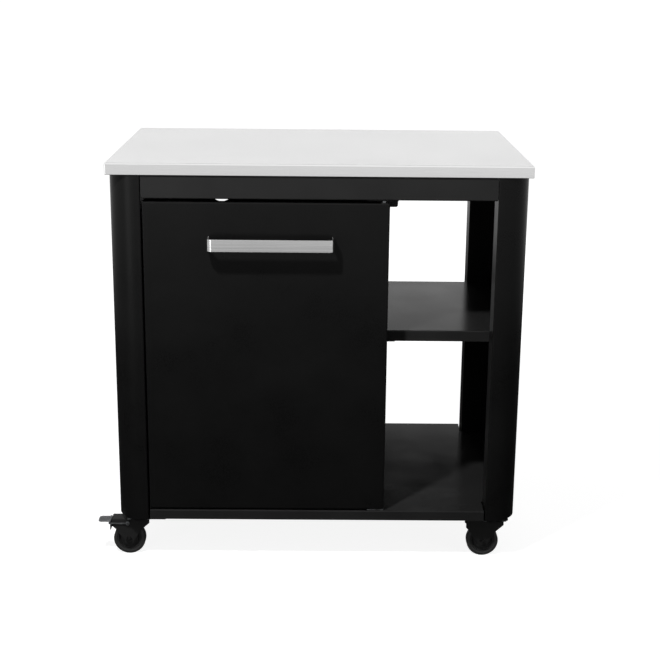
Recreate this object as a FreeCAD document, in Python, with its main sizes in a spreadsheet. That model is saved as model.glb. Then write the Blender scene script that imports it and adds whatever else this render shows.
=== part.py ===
"""Grill cart with storage, in millimetres.

The origin is on the floor under the middle of the worktop. +X is to the right and +Y to the rear, as seen
from the door side, and +Z is up.
"""

import FreeCAD, Part
import math
import os
import re

import Sketcher
from FreeCAD import Rotation, Vector

SIZES = {
    # Worktop: a folded tray over a board
    "worktop_width": 900,
    "worktop_depth": 600,
    "worktop_height": 25,
    "worktop_sheet": 1.5,
    "worktop_edge_radius": 3,
    "worktop_lip": 20,
    "core_clearance": 0.5,
    "worktop_overhang": 3,
    # Corner columns
    "column_width": 70,
    "column_depth": 62,
    "column_radius": 58,
    "column_sheet": 1.5,
    "column_bend": 3,
    "column_length": 775.5,
    # Rails under the worktop
    "rail_height": 50,
    "rail_depth": 30,
    "rail_sheet": 1.5,
    "rail_bend": 2.5,
    "face_setback": 1,
    "seam_gap": 1.5,
    # Base and shelf trays
    "base_height": 22,
    "base_sheet": 1.5,
    "base_bend": 2,
    "base_lip": 15,
    "base_side_gap": 3,
    "shelf_height": 24,
    "shelf_sheet": 1.2,
    "shelf_bend": 2,
    "shelf_lip": 14,
    "shelf_rise": 403.5,
    "support_leg": 20,
    "support_sheet": 1.5,
    # Cabinet walls
    "cabinet_width": 525.5,
    "divider_thickness": 20,
    "divider_sheet": 1.2,
    "panel_sheet": 1.2,
    "panel_flange": 12,
    "panel_bend": 2,
    "side_recess": 10,
    # Hose hole in the back panel
    "hose_hole_radius": 31,
    "hose_hole_along": 128.6,
    "hose_hole_drop": 128,
    "grommet_wall": 5,
    "grommet_lip": 4,
    "grommet_lip_thickness": 2.4,
    # Door
    "door_overlap": 0.5,
    "door_side_gap": 3,
    "door_top_gap": 7,
    "door_thickness": 20,
    "door_setback": 1,
    "door_sheet": 1.2,
    "door_bend": 3,
    "liner_sheet": 1,
    "liner_clearance": 0.2,
    # Door pivots
    "pivot_inset": 12,
    "pivot_radius": 4,
    "running_clearance": 0.05,
    "seat_clearance": 0.3,
    "bush_radius": 7,
    "bush_flange_radius": 9,
    "bush_flange_thickness": 1.2,
    "bush_length": 15,
    "pin_engagement": 12,
    "arm_thickness": 2.5,
    "arm_reach_left": 35,
    "arm_front_margin": 5,
    "tab_reach_right": 30,
    "tab_reach_left": 7,
    "tab_drop": 18.5,
    "tab_corner": 5,
    "sweep_clearance": 1,
    "foot_thickness": 2,
    "foot_reach_left": 25,
    "foot_reach_right": 11,
    "foot_reach_rear": 12,
    # Handle
    "handle_length": 270,
    "handle_height": 26,
    "handle_sheet": 3,
    "handle_standoff": 38,
    "handle_bend": 14,
    "handle_foot": 18,
    "handle_curl": 4,
    "handle_tab": 12,
    "handle_drop": 72.5,
    "handle_offset": 9.8,
    # Magnetic catch
    "catch_width": 14,
    "catch_depth": 22,
    "catch_height": 50,
    "catch_rise": 350,
    "strike_width": 22,
    "strike_thickness": 1.5,
    "strike_inset": 3,
    # Casters
    "caster_height": 99.5,
    "caster_inset": 48,
    "caster_trail": 24.5,
    "corner_plate_width": 102,
    "corner_plate_depth": 112,
    "corner_plate_inset": 5,
    "corner_plate_thickness": 3,
    "caster_plate_side": 60,
    "caster_plate_corner": 6,
    "caster_plate_thickness": 3,
    "bolt_spacing": 44,
    "race_radius": 20,
    "race_height": 7,
    "kingpin_radius": 5,
    "kingpin_head_radius": 9,
    "kingpin_head_height": 3,
    "fork_sheet": 2.5,
    "fork_front_reach": 22,
    "fork_rear_reach": 63,
    "fork_front_depth": 9.5,
    "fork_rear_depth": 16.5,
    "fork_waist_half": 30,
    "fork_waist_rise": 26,
    "fork_eye_radius": 12,
    "fork_head_radius": 22,
    "fork_bend": 2,
    "wheel_radius": 36,
    "wheel_width": 24,
    "wheel_side_gap": 1.5,
    "tyre_inner_radius": 27,
    "tyre_shoulder": 4,
    "rim_thickness": 5,
    "rim_width": 20,
    "web_width": 8,
    "hub_radius": 9,
    "axle_radius": 4,
    "axle_head_radius": 6.5,
    "axle_head_height": 3,
    # Brake pedals
    "pedal_width": 30,
    "pedal_corner": 8,
    "pedal_reach": 94,
    "pedal_sheet": 2.5,
    "pedal_rise": 2.5,
    "pedal_arm_height": 3,
    "pedal_arm_width": 2,
    "pedal_arm_gap": 0.5,
    "pedal_bar_width": 4,
    "pedal_bar_gap": 3,
    "pedal_pivot_x": 27,
    "pedal_pivot_rise": 40,
    "pedal_pin_radius": 2,
    "pedal_boss_radius": 4.5,
    "shoe_drop": 18,
    "shoe_sheet": 2,
    "pin_head_radius": 3.5,
    "pin_head_height": 1,
    # Fasteners
    "screw_radius": 2.5,
    "screw_head_radius": 4.5,
    "screw_head_height": 2,
    "worktop_screw_bite": 12,
    "worktop_screw_spacing": 300,
    "shelf_screw_spacing": 360,
    "hinge_screw_radius": 2,
    "hinge_screw_head": 3.6,
    "hinge_screw_inset": 10,
    "bolt_radius": 3,
    "bolt_head_radius": 5.8,
    "bolt_head_height": 3.5,
}

# Levels
BASE_TOP = "(caster_height + base_height)"
WORKTOP_UNDER = "(caster_height + column_length)"
RAIL_BOTTOM = f"({WORKTOP_UNDER} - rail_height)"
WALL_HEIGHT = "(column_length - rail_height - base_height)"
SHELF_TOP = f"({BASE_TOP} + shelf_rise)"
SHELF_UNDER = f"({SHELF_TOP} - shelf_height)"

# Planes of the frame
SIDE = "(worktop_width / 2 - worktop_overhang)"
FRONT = "(worktop_depth / 2 - worktop_overhang)"
FACE = f"({FRONT} - face_setback)"
COLUMN_X = f"({SIDE} - column_width)"
COLUMN_Y = f"({FRONT} - column_depth)"
PANEL_X = f"({SIDE} - side_recess)"
DIVIDER_RIGHT = f"(cabinet_width - {COLUMN_X})"
DIVIDER_LEFT = f"({DIVIDER_RIGHT} - divider_thickness)"

# Door, closed
DOOR_FRONT = f"({FACE} - door_setback)"
DOOR_BACK = f"({DOOR_FRONT} - door_thickness)"
DOOR_LEFT = f"(-{COLUMN_X} + door_side_gap)"
DOOR_RIGHT = f"({DIVIDER_RIGHT} + door_overlap)"
DOOR_WIDTH = f"({DOOR_RIGHT} - {DOOR_LEFT})"
FOOT_TOP = f"({BASE_TOP} + foot_thickness)"
DOOR_BOTTOM = f"({FOOT_TOP} + seat_clearance + bush_flange_thickness)"
DOOR_TOP = f"({RAIL_BOTTOM} - door_top_gap)"
DOOR_HEIGHT = f"({DOOR_TOP} - {DOOR_BOTTOM})"
HANDLE_X = f"(({DOOR_LEFT} + {DOOR_RIGHT}) / 2 + handle_offset)"
HANDLE_BOTTOM = f"({DOOR_TOP} - handle_drop - handle_height)"

# Door pivots: the door's right corners sweep a circle round the axis, and the tab stands clear of it
PIVOT_X = f"({DOOR_RIGHT} - pivot_inset)"
PIVOT_Y = f"(-{DOOR_FRONT} + door_thickness / 2)"
SWEEP = "sqrt(pivot_inset * pivot_inset + door_thickness * door_thickness / 4)"
TAB_FRONT = f"({PIVOT_Y} + {SWEEP} + sweep_clearance)"
DIVIDER_FRONT = f"({TAB_FRONT} + arm_thickness)"
ARM_FRONT = f"(-{DOOR_FRONT} + arm_front_margin)"
ARM_UNDER = f"({RAIL_BOTTOM} - arm_thickness)"

# Casters: heights over the floor, and places from the swivel axis
CASTER_X = "(worktop_width / 2 - caster_inset)"
CASTER_Y = "(worktop_depth / 2 - caster_inset)"
PLATE_TOP = "(caster_height - corner_plate_thickness)"
PLATE_UNDER = f"({PLATE_TOP} - caster_plate_thickness)"
CROWN_TOP = f"({PLATE_UNDER} - race_height)"
CROWN_UNDER = f"({CROWN_TOP} - fork_sheet)"
FORK_GAP = "(wheel_width + 2 * wheel_side_gap)"
FORK_WIDTH = f"({FORK_GAP} + 2 * fork_sheet)"
PEDAL_PIVOT_Z = "(wheel_radius + pedal_pivot_rise)"
PEDAL_SPAN = f"({FORK_WIDTH} + 2 * pedal_arm_gap + 2 * pedal_arm_width)"
PEDAL_BAR_X = "(fork_rear_reach + pedal_bar_gap)"

# Which way a tray's closed face looks, from a tray that is modelled with its face up
FACE_UP = Rotation()
FACE_FRONT = Rotation(Vector(1, 0, 0), 90)
FACE_REAR = Rotation(Vector(0, 0, 1), 180) * FACE_FRONT
FACE_RIGHT = Rotation(Vector(0, 0, 1), 90) * FACE_FRONT
FACE_LEFT = Rotation(Vector(0, 0, 1), -90) * FACE_FRONT
ALONG_Y = Rotation(Vector(1, 0, 0), -90)

CORNERS = {"front_left": (-1, -1), "front_right": (1, -1), "rear_left": (-1, 1), "rear_right": (1, 1)}
BRAKED = ("front_left", "rear_left")

# Longer than anything a pocket has to pass, and the most by which two equal places differ
LONG = 2000
NEAR = 0.01

doc = FreeCAD.newDocument("GrillCart")
parts = {}


def make_sheet():
    """Writes the sizes into a spreadsheet, each with its name as the cell's alias."""
    sheet = doc.addObject("Spreadsheet::Sheet", "Sizes")
    for row, (name, size) in enumerate(SIZES.items(), start=1):
        sheet.set(f"A{row}", name)
        sheet.set(f"B{row}", str(size))
        sheet.setAlias(f"B{row}", name)
    doc.recompute()
    return sheet


def linked(formula):
    """Turns size names in a formula into references to the spreadsheet."""
    return re.sub(r"\b[a-z]+_[a-z_]+\b", lambda found: "Sizes." + found.group(0), str(formula))


def value(formula):
    """Returns a formula's number."""
    return float(sizes.evalExpression(linked(formula)))


def signed(sign, formula):
    """Returns the formula, or its negative for a sign of -1."""
    return f"({formula})" if sign > 0 else f"(-({formula}))"


# Building blocks


def place(item, at, turn=None):
    """Puts an object's own origin at three formulas, turned if asked."""
    item.Placement = FreeCAD.Placement(Vector(), turn or Rotation())
    for axis, formula in zip("xyz", at):
        item.setExpression("Placement.Base." + axis, linked(formula))
    return item


def box(size, at):
    """A box, with its lowest corner at a place."""
    item = doc.addObject("Part::Box", "Box")
    for side, formula in zip(("Length", "Width", "Height"), size):
        item.setExpression(side, linked(formula))
    return place(item, at)


def rod(radius, length, at, turn=None):
    """A cylinder that rises from a place, or runs along +Y from it with ALONG_Y."""
    item = doc.addObject("Part::Cylinder", "Rod")
    item.setExpression("Radius", linked(radius))
    item.setExpression("Height", linked(length))
    return place(item, at, turn)


def hexagon(radius, length, at, turn=None):
    """A six-sided head or nut."""
    item = doc.addObject("Part::Prism", "Hexagon")
    item.Polygon = 6
    item.setExpression("Circumradius", linked(radius))
    item.setExpression("Height", linked(length))
    return place(item, at, turn)


def group(items):
    """Several solids in one object."""
    item = doc.addObject("Part::Compound", "Group")
    item.Links = items
    return item


def fused(items):
    """One solid from several."""
    item = doc.addObject("Part::MultiFuse", "Fused")
    item.Shapes = items
    item.Refine = True
    return item


def cut(base, *tools):
    """The base less each tool."""
    for tool in tools:
        item = doc.addObject("Part::Cut", "Cut")
        item.Base = base
        item.Tool = tool
        base = item
    return base


def rounded(base, radius, chosen):
    """Rounds the edges for which chosen(first point, last point) is true."""
    doc.recompute()
    radius = value(radius)
    picked = []
    for number, edge in enumerate(base.Shape.Edges, start=1):
        ends = [vertex.Point for vertex in edge.Vertexes]
        if len(ends) == 2 and chosen(*ends):
            picked.append((number, radius, radius))
    item = doc.addObject("Part::Fillet", "Rounded")
    item.Base = base
    item.Edges = picked
    return item


def sub_part(label, item):
    """Registers a finished piece under its own label."""
    item.Label = label
    parts[label] = item
    return item


# Sketched pieces


def new_body(name):
    """An empty body."""
    return doc.addObject("PartDesign::Body", name)


def sketch_on(body, role, offset="0"):
    """A sketch on one of the body's own origin planes, raised by an offset."""
    plane = next(item for item in body.Origin.OriginFeatures if item.Role == role)
    sketch = body.newObject("Sketcher::SketchObject", "Sketch")
    sketch.AttachmentSupport = (plane, [""])
    sketch.MapMode = "FlatFace"
    sketch.setExpression("AttachmentOffset.Base.z", linked(offset))
    return sketch


def bound(sketch, constraint, name, formula):
    """Adds a constraint and ties its size to a formula."""
    index = sketch.addConstraint(constraint)
    sketch.renameConstraint(index, name)
    sketch.setExpression("Constraints." + name, linked(formula))


def arc_between(start, end, radius, turn):
    """A circular arc of at most a half turn, anticlockwise for a turn of 1 and clockwise for -1."""
    middle = (start + end) / 2
    chord = end - start
    height = math.sqrt(max(radius**2 - chord.Length**2 / 4, 0))
    centre = middle + Vector(-chord.y, chord.x, 0).normalize() * height * turn
    first, last = (start, end) if turn > 0 else (end, start)
    angles = [math.atan2(point.y - centre.y, point.x - centre.x) for point in (first, last)]
    return Part.ArcOfCircle(Part.Circle(centre, Vector(0, 0, 1), radius), *angles)


def draw_outline(sketch, corners):
    """Draws a closed outline through corners: (x, y), or (x, y, radius, turn) where an arc leaves."""
    first = sketch.GeometryCount
    points = [Vector(value(corner[0]), value(corner[1]), 0) for corner in corners]
    heads, tails = [], []
    for index, corner in enumerate(corners):
        start, end = points[index], points[(index + 1) % len(points)]
        if len(corner) == 2:
            sketch.addGeometry(Part.LineSegment(start, end), False)
            turn = 1
        else:
            turn = corner[3]
            sketch.addGeometry(arc_between(start, end, value(corner[2]), turn), False)
        heads.append((first + index, 1 if turn > 0 else 2))
        tails.append((first + index, 2 if turn > 0 else 1))
    for index, corner in enumerate(corners):
        tag = str(first + index)
        across = Sketcher.Constraint("DistanceX", -1, 1, *heads[index], points[index].x)
        upward = Sketcher.Constraint("DistanceY", -1, 1, *heads[index], points[index].y)
        bound(sketch, across, "across" + tag, corner[0])
        bound(sketch, upward, "upward" + tag, corner[1])
        sketch.addConstraint(Sketcher.Constraint("Coincident", *tails[index - 1], *heads[index]))
        if len(corner) > 2:
            size = Sketcher.Constraint("Radius", first + index, value(corner[2]))
            bound(sketch, size, "radius" + tag, corner[2])


def draw_circle(sketch, x, y, radius):
    """Draws a circle."""
    circle = Part.Circle(Vector(value(x), value(y), 0), Vector(0, 0, 1), value(radius))
    index = sketch.addGeometry(circle, False)
    tag = str(index)
    bound(sketch, Sketcher.Constraint("DistanceX", -1, 1, index, 3, value(x)), "across" + tag, x)
    bound(sketch, Sketcher.Constraint("DistanceY", -1, 1, index, 3, value(y)), "upward" + tag, y)
    bound(sketch, Sketcher.Constraint("Radius", index, value(radius)), "radius" + tag, radius)


def raised(body, kind, sketch, length, symmetric=False):
    """Pads or pockets a sketch, to one side of its plane or evenly to both."""
    feature = body.newObject("PartDesign::" + kind, kind)
    feature.Profile = sketch
    feature.SideType = "Symmetric" if symmetric else "One side"
    feature.setExpression("Length", linked(length))
    return feature


def pad(body, sketch, length, symmetric=False):
    """Adds the sketch's outline as a solid."""
    return raised(body, "Pad", sketch, length, symmetric)


def pocket_through(body, sketch, length=LONG):
    """Takes the sketch's outline away on both sides of its plane, and checks that something went."""
    doc.recompute()
    before = body.Shape.Volume
    feature = raised(body, "Pocket", sketch, length, symmetric=True)
    doc.recompute()
    if body.Shape.Volume >= before:
        raise ValueError("a pocket of " + body.Label + " cuts nothing")
    return feature


def revolved(body, sketch):
    """Turns the sketch once round its own vertical axis."""
    feature = body.newObject("PartDesign::Revolution", "Revolution")
    feature.Profile = sketch
    feature.ReferenceAxis = (sketch, ["V_Axis"])
    feature.Angle = 360
    return feature


def filleted(body, feature, radius, chosen):
    """Rounds edges of a body's feature, picked by their end points in the body's own frame."""
    doc.recompute()
    names = []
    for number, edge in enumerate(feature.Shape.Edges, start=1):
        ends = [vertex.Point for vertex in edge.Vertexes]
        if len(ends) == 2 and chosen(*ends):
            names.append(f"Edge{number}")
    fillet = body.newObject("PartDesign::Fillet", "Fillet")
    fillet.Base = (feature, names)
    fillet.setExpression("Radius", linked(radius))
    return fillet


def is_upright(first, last):
    """True for an edge along Z."""
    return abs(first.x - last.x) < NEAR and abs(first.y - last.y) < NEAR


def tray(width, depth, height, sheet, bend, lip="0"):
    """A folded tray, face up, centred on the origin and open below, with lips turned in round its mouth."""
    top = value(height)

    def is_bend(first, last):
        return is_upright(first, last) or (abs(first.z - top) < NEAR and abs(last.z - top) < NEAR)

    outer = rounded(centred_box(width, depth, height, "0"), bend, is_bend)
    inner = centred_box(f"{width} - 2 * {sheet}", f"{depth} - 2 * {sheet}", f"{height} - 2 * {sheet}", sheet)
    edge = lip if value(lip) > 0 else sheet
    mouth = centred_box(f"{width} - 2 * {edge}", f"{depth} - 2 * {edge}", f"2 * {sheet}", f"-{sheet}")
    return cut(outer, inner, mouth)


def centred_box(width, depth, height, bottom):
    """A box centred on the Z axis."""
    return box((width, depth, height), (f"-({width}) / 2", f"-({depth}) / 2", bottom))


# Worktop, columns and rails


def make_worktop():
    """The folded top over its board, and the screws that come up through the rails."""
    size = ("worktop_width", "worktop_depth", "worktop_height")
    skin = tray(*size, "worktop_sheet", "worktop_edge_radius", "worktop_lip")
    place(skin, ("0", "0", WORKTOP_UNDER))
    margin = "2 * (worktop_sheet + core_clearance)"
    width, depth = f"worktop_width - {margin}", f"worktop_depth - {margin}"
    core = centred_box(width, depth, "worktop_height - 2 * worktop_sheet", f"{WORKTOP_UNDER} + worktop_sheet")
    sub_part("worktop_skin", cut(skin, worktop_screw_shanks()))
    sub_part("worktop_core", cut(core, worktop_screw_shanks()))


def worktop_screw_places():
    """Where the worktop's screws stand: along the middle of each rail."""
    line = f"({FACE} - rail_depth / 2)"
    side = f"({SIDE} - face_setback - rail_depth / 2)"
    steps = [(step, sign) for sign in (-1, 1) for step in (-1, 0, 1)]
    along = [(f"{step} * worktop_screw_spacing", signed(sign, line)) for step, sign in steps]
    return along + [(signed(sign, side), "0") for sign in (-1, 1)]


def worktop_screw_shanks():
    """The shanks, from inside the rails into the board, which also cut their own holes."""
    length = "rail_sheet + worktop_sheet + worktop_screw_bite"
    start = f"{WORKTOP_UNDER} - rail_sheet"
    return group([rod("screw_radius", length, (x, y, start)) for x, y in worktop_screw_places()])


def headed(shanks, places, radius, height, at_z):
    """Screws or bolts made of shanks and round heads, a head at each place's x and y and at one height."""
    heads = [rod(radius, height, (x, y, at_z)) for x, y in places]
    return [fused([shank, head]) for shank, head in zip(shanks, heads)]


def make_worktop_screws():
    """One screw at each place, its head inside the rail."""
    under = f"{WORKTOP_UNDER} - rail_sheet - screw_head_height"
    shanks = worktop_screw_shanks().Links
    screws = headed(shanks, worktop_screw_places(), "screw_head_radius", "screw_head_height", under)
    sub_part("worktop_screws", group(screws))


def column_outline(sx, sy, inset):
    """A column's outline from its inner corner, with a quarter round towards the cart's corner."""
    right, far = f"(column_width - {inset})", f"(column_depth - {inset})"
    straight_x, straight_y = "(column_width - column_radius)", "(column_depth - column_radius)"
    near_x, near_y = signed(sx, inset), signed(sy, inset)
    return [
        (near_x, near_y),
        (signed(sx, right), near_y),
        (signed(sx, right), signed(sy, straight_y), f"column_radius - {inset}", sx * sy),
        (signed(sx, straight_x), signed(sy, far)),
        (near_x, signed(sy, far)),
    ]


def make_columns():
    """Four hollow columns, each a mirror of its neighbours."""
    for name, (sx, sy) in CORNERS.items():
        body = new_body("Column")
        sketch = sketch_on(body, "XY_Plane")
        draw_outline(sketch, column_outline(sx, sy, "0"))
        draw_outline(sketch, column_outline(sx, sy, "column_sheet"))
        tube = pad(body, sketch, "column_length")
        corners = [("0", "0"), (signed(sx, "column_width"), "0"), ("0", signed(sy, "column_depth"))]
        spots = [(value(x), value(y)) for x, y in corners]

        def is_bend(first, last, spots=spots):
            at_spot = any(math.hypot(first.x - x, first.y - y) < NEAR for x, y in spots)
            return at_spot and is_upright(first, last)

        filleted(body, tube, "column_bend", is_bend)
        place(body, (signed(sx, COLUMN_X), signed(sy, COLUMN_Y), "caster_height"))
        sub_part("column_" + name, body)


def rail_tube(length, along_x):
    """A rectangular tube, open at its ends and centred on the origin in plan."""
    sides = ((length, "rail_depth"), (f"{length} + 2 * rail_sheet", "(rail_depth - 2 * rail_sheet)"))
    if not along_x:
        sides = [(depth, long_side) for long_side, depth in sides]
    tube = centred_box(*sides[0], "rail_height", RAIL_BOTTOM)
    bore = centred_box(*sides[1], "(rail_height - 2 * rail_sheet)", f"{RAIL_BOTTOM} + rail_sheet")

    def is_long(first, last):
        return first.distanceToPoint(last) > value(length) - NEAR

    return cut(rounded(tube, "rail_bend", is_long), rounded(bore, "rail_bend - rail_sheet", is_long))


def make_rails():
    """Four tubes between the columns, under the worktop."""
    long_rail, short_rail = f"(2 * ({COLUMN_X} - seam_gap))", f"(2 * ({COLUMN_Y} - seam_gap))"
    line = f"({FACE} - rail_depth / 2)"
    side = f"({SIDE} - face_setback - rail_depth / 2)"
    front = place(rail_tube(long_rail, True), ("0", f"-{line}", "0"))
    sub_part("rail_front", cut(front, worktop_screw_shanks(), hinge_arm_shanks()))
    for name, rail in {
        "rail_rear": place(rail_tube(long_rail, True), ("0", line, "0")),
        "rail_left": place(rail_tube(short_rail, False), (f"-{side}", "0", "0")),
        "rail_right": place(rail_tube(short_rail, False), (side, "0", "0")),
    }.items():
        sub_part(name, cut(rail, worktop_screw_shanks()))


# Base, shelf and walls


def make_base():
    """The bottom tray, notched at its corners to pass the columns."""
    base = tray(f"(2 * {PANEL_X})", f"(2 * {FACE})", "base_height", "base_sheet", "base_bend", "base_lip")
    notch_width = f"({PANEL_X} - {COLUMN_X} + base_side_gap + base_sheet)"
    notch_depth = f"({FACE} - {COLUMN_Y} + base_sheet)"
    notches = []
    for sx, sy in CORNERS.values():
        x = f"{COLUMN_X} - base_side_gap" if sx > 0 else f"-{PANEL_X} - base_sheet"
        y = COLUMN_Y if sy > 0 else f"-{FACE} - base_sheet"
        notches.append(box((notch_width, notch_depth, "3 * base_height"), (x, y, "-base_height")))
    sub_part("base_panel", place(cut(base, *notches), ("0", "0", "caster_height")))


def shelf_screw_places():
    """Two screws on each side of the shelf, midway across its supports."""
    columns = (f"({DIVIDER_RIGHT} + support_leg / 2)", f"({PANEL_X} - panel_flange - support_leg / 2)")
    return [(x, f"{sign} * shelf_screw_spacing / 2") for x in columns for sign in (-1, 1)]


def shelf_screw_shanks():
    """The shanks that come up through the supports and the shelf's lips."""
    length = "(support_sheet + shelf_sheet + 2 * screw_radius)"
    start = f"{SHELF_UNDER} - support_sheet"
    return [rod("screw_radius", length, (x, y, start)) for x, y in shelf_screw_places()]


def make_shelf():
    """The shelf's tray between the divider and the right side panel, on two screwed angles."""
    right = f"({PANEL_X} - panel_flange)"
    width = f"({right} - {DIVIDER_RIGHT})"
    shelf = tray(width, f"(2 * {COLUMN_Y})", "shelf_height", "shelf_sheet", "shelf_bend", "shelf_lip")
    place(shelf, (f"({right} + {DIVIDER_RIGHT}) / 2", "0", SHELF_UNDER))
    sub_part("mid_shelf", cut(shelf, group(shelf_screw_shanks())))
    length = f"(2 * {COLUMN_Y})"
    angles = []
    corners = ((DIVIDER_RIGHT, DIVIDER_RIGHT), (f"{right} - support_leg", f"{right} - support_sheet"))
    front = f"-{COLUMN_Y}"
    for leg_x, web_x in corners:
        flat = box(("support_leg", length, "support_sheet"), (leg_x, front, f"{SHELF_UNDER} - support_sheet"))
        web = box(("support_sheet", length, "support_leg"), (web_x, front, f"{SHELF_UNDER} - support_leg"))
        angles.append(fused([flat, web]))
    sub_part("shelf_supports", cut(group(angles), group(shelf_screw_shanks())))
    under = f"{SHELF_UNDER} - support_sheet - screw_head_height"
    sizes = "screw_head_radius", "screw_head_height"
    screws = headed(shelf_screw_shanks(), shelf_screw_places(), *sizes, under)
    sub_part("shelf_screws", group(screws))


def make_walls():
    """The divider, the recessed side panels and the back panel, each a shallow tray on edge."""
    middle = f"({BASE_TOP} + {WALL_HEIGHT} / 2)"
    back_inner = f"({FACE} - panel_flange)"
    divider_depth = f"({back_inner} - {DIVIDER_FRONT})"
    divider = tray(divider_depth, WALL_HEIGHT, "divider_thickness", "divider_sheet", "panel_bend")
    place(divider, (DIVIDER_LEFT, f"({back_inner} + {DIVIDER_FRONT}) / 2", middle), FACE_RIGHT)
    sub_part("divider_panel", cut(divider, tab_screw_shank()))
    for name, turn, sign in (("side_panel_left", FACE_LEFT, -1), ("side_panel_right", FACE_RIGHT, 1)):
        panel = tray(f"(2 * {COLUMN_Y})", WALL_HEIGHT, "panel_flange", "panel_sheet", "panel_bend")
        sub_part(name, place(panel, (signed(sign, f"{PANEL_X} - panel_flange"), "0", middle), turn))
    back = tray("cabinet_width", WALL_HEIGHT, "panel_flange", "panel_sheet", "panel_bend")
    place(back, (f"{DIVIDER_RIGHT} - cabinet_width / 2", back_inner, middle), FACE_REAR)
    hole_at = (hose_x(), back_inner, hose_z())
    hole = rod("hose_hole_radius + grommet_wall", "2 * panel_flange", hole_at, ALONG_Y)
    sub_part("back_panel", cut(back, hole))


def hose_x():
    """The hose hole's place across the cart."""
    return f"(-{COLUMN_X} + hose_hole_along)"


def hose_z():
    """The hose hole's height."""
    return f"({WORKTOP_UNDER} - hose_hole_drop)"


def make_grommet():
    """A ring that grips the hole's edge between two lips."""
    bore, neck = "hose_hole_radius", "(hose_hole_radius + grommet_wall)"
    lip = "(hose_hole_radius + grommet_wall + grommet_lip)"
    half = "(panel_sheet / 2)"
    far = "(panel_sheet / 2 + grommet_lip_thickness)"
    body = new_body("Grommet")
    sketch = sketch_on(body, "XY_Plane")
    draw_outline(sketch, [
        (bore, f"-{far}"), (lip, f"-{far}"), (lip, f"-{half}"), (neck, f"-{half}"),
        (neck, half), (lip, half), (lip, far), (bore, far),
    ])
    revolved(body, sketch)
    sub_part("hose_grommet", place(body, (hose_x(), f"({FACE} - panel_sheet / 2)", hose_z())))


# Door and its pivots


def hinge_arm_places():
    """Two screws that hold the top arm to the rail, clear of the pivot."""
    left = f"({PIVOT_X} - arm_reach_left + hinge_screw_inset)"
    right = f"({PIVOT_X} + tab_reach_right - hinge_screw_inset)"
    y = f"({PIVOT_Y} + hinge_screw_inset / 2)"
    return [(left, y), (right, y)]


def hinge_arm_shanks():
    """The shanks through the arm and the rail's lower wall."""
    length = "(arm_thickness + rail_sheet + hinge_screw_radius)"
    return group([rod("hinge_screw_radius", length, (x, y, ARM_UNDER)) for x, y in hinge_arm_places()])


def tab_screw_place():
    """The screw that holds the tab to the divider's front flange."""
    return f"({DIVIDER_RIGHT} - divider_thickness / 2)", f"({RAIL_BOTTOM} - tab_drop + hinge_screw_inset)"


def tab_screw_shank():
    """The shank through the tab and the flange, from the front."""
    x, z = tab_screw_place()
    length = "(arm_thickness + divider_sheet + hinge_screw_radius)"
    return rod("hinge_screw_radius", length, (x, TAB_FRONT, z), ALONG_Y)


def make_hinge_brackets():
    """The top arm with its tab, screwed up to the rail, and the bottom foot on the base."""
    left = f"({PIVOT_X} - arm_reach_left)"
    arm_width = "(arm_reach_left + tab_reach_right)"
    arm = box((arm_width, f"({DIVIDER_FRONT} - {ARM_FRONT})", "arm_thickness"), (left, ARM_FRONT, ARM_UNDER))
    tab_left = f"({PIVOT_X} - tab_reach_left)"
    low = f"({RAIL_BOTTOM} - tab_drop)"
    tab = box(("tab_reach_left + tab_reach_right", "arm_thickness", "tab_drop"), (tab_left, TAB_FRONT, low))
    low_z, right_x = value(low), value(f"{PIVOT_X} + tab_reach_right")

    def is_low_corner(first, last):
        same = abs(first.x - last.x) < NEAR and abs(first.z - last.z) < NEAR
        return same and abs(first.z - low_z) < NEAR and abs(first.x - right_x) < NEAR

    bracket = fused([arm, rounded(tab, "tab_corner", is_low_corner)])
    pin_hole = rod("pivot_radius", "3 * arm_thickness", (PIVOT_X, PIVOT_Y, f"{ARM_UNDER} - arm_thickness"))
    sub_part("hinge_bracket_top", cut(bracket, pin_hole, hinge_arm_shanks(), tab_screw_shank()))
    foot_width = "(foot_reach_left + foot_reach_right)"
    foot_depth = f"({PIVOT_Y} + foot_reach_rear - {ARM_FRONT})"
    foot_at = (f"({PIVOT_X} - foot_reach_left)", ARM_FRONT, BASE_TOP)
    foot = box((foot_width, foot_depth, "foot_thickness"), foot_at)
    foot_hole = rod("pivot_radius", "foot_thickness", (PIVOT_X, PIVOT_Y, BASE_TOP))
    sub_part("hinge_bracket_bottom", cut(foot, foot_hole))


def make_hinge_pins():
    """A pin down from the arm and one up from the foot."""
    top_start, top_length = f"{DOOR_TOP} - pin_engagement", f"{RAIL_BOTTOM} - {DOOR_TOP} + pin_engagement"
    top = rod("pivot_radius", top_length, (PIVOT_X, PIVOT_Y, top_start))
    bottom = rod("pivot_radius", f"{DOOR_BOTTOM} - {BASE_TOP} + pin_engagement", (PIVOT_X, PIVOT_Y, BASE_TOP))
    sub_part("hinge_pins", group([top, bottom]))


def make_hinge_screws():
    """The arm's two screws and the tab's one."""
    under = f"{ARM_UNDER} - screw_head_height"
    shanks = hinge_arm_shanks().Links
    screws = headed(shanks, hinge_arm_places(), "hinge_screw_head", "screw_head_height", under)
    x, z = tab_screw_place()
    head_height = "(sweep_clearance - seat_clearance)"
    head = rod("hinge_screw_head", head_height, (x, f"{TAB_FRONT} - {head_height}", z), ALONG_Y)
    screws.append(fused([tab_screw_shank(), head]))
    sub_part("hinge_screws", group(screws))


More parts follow.
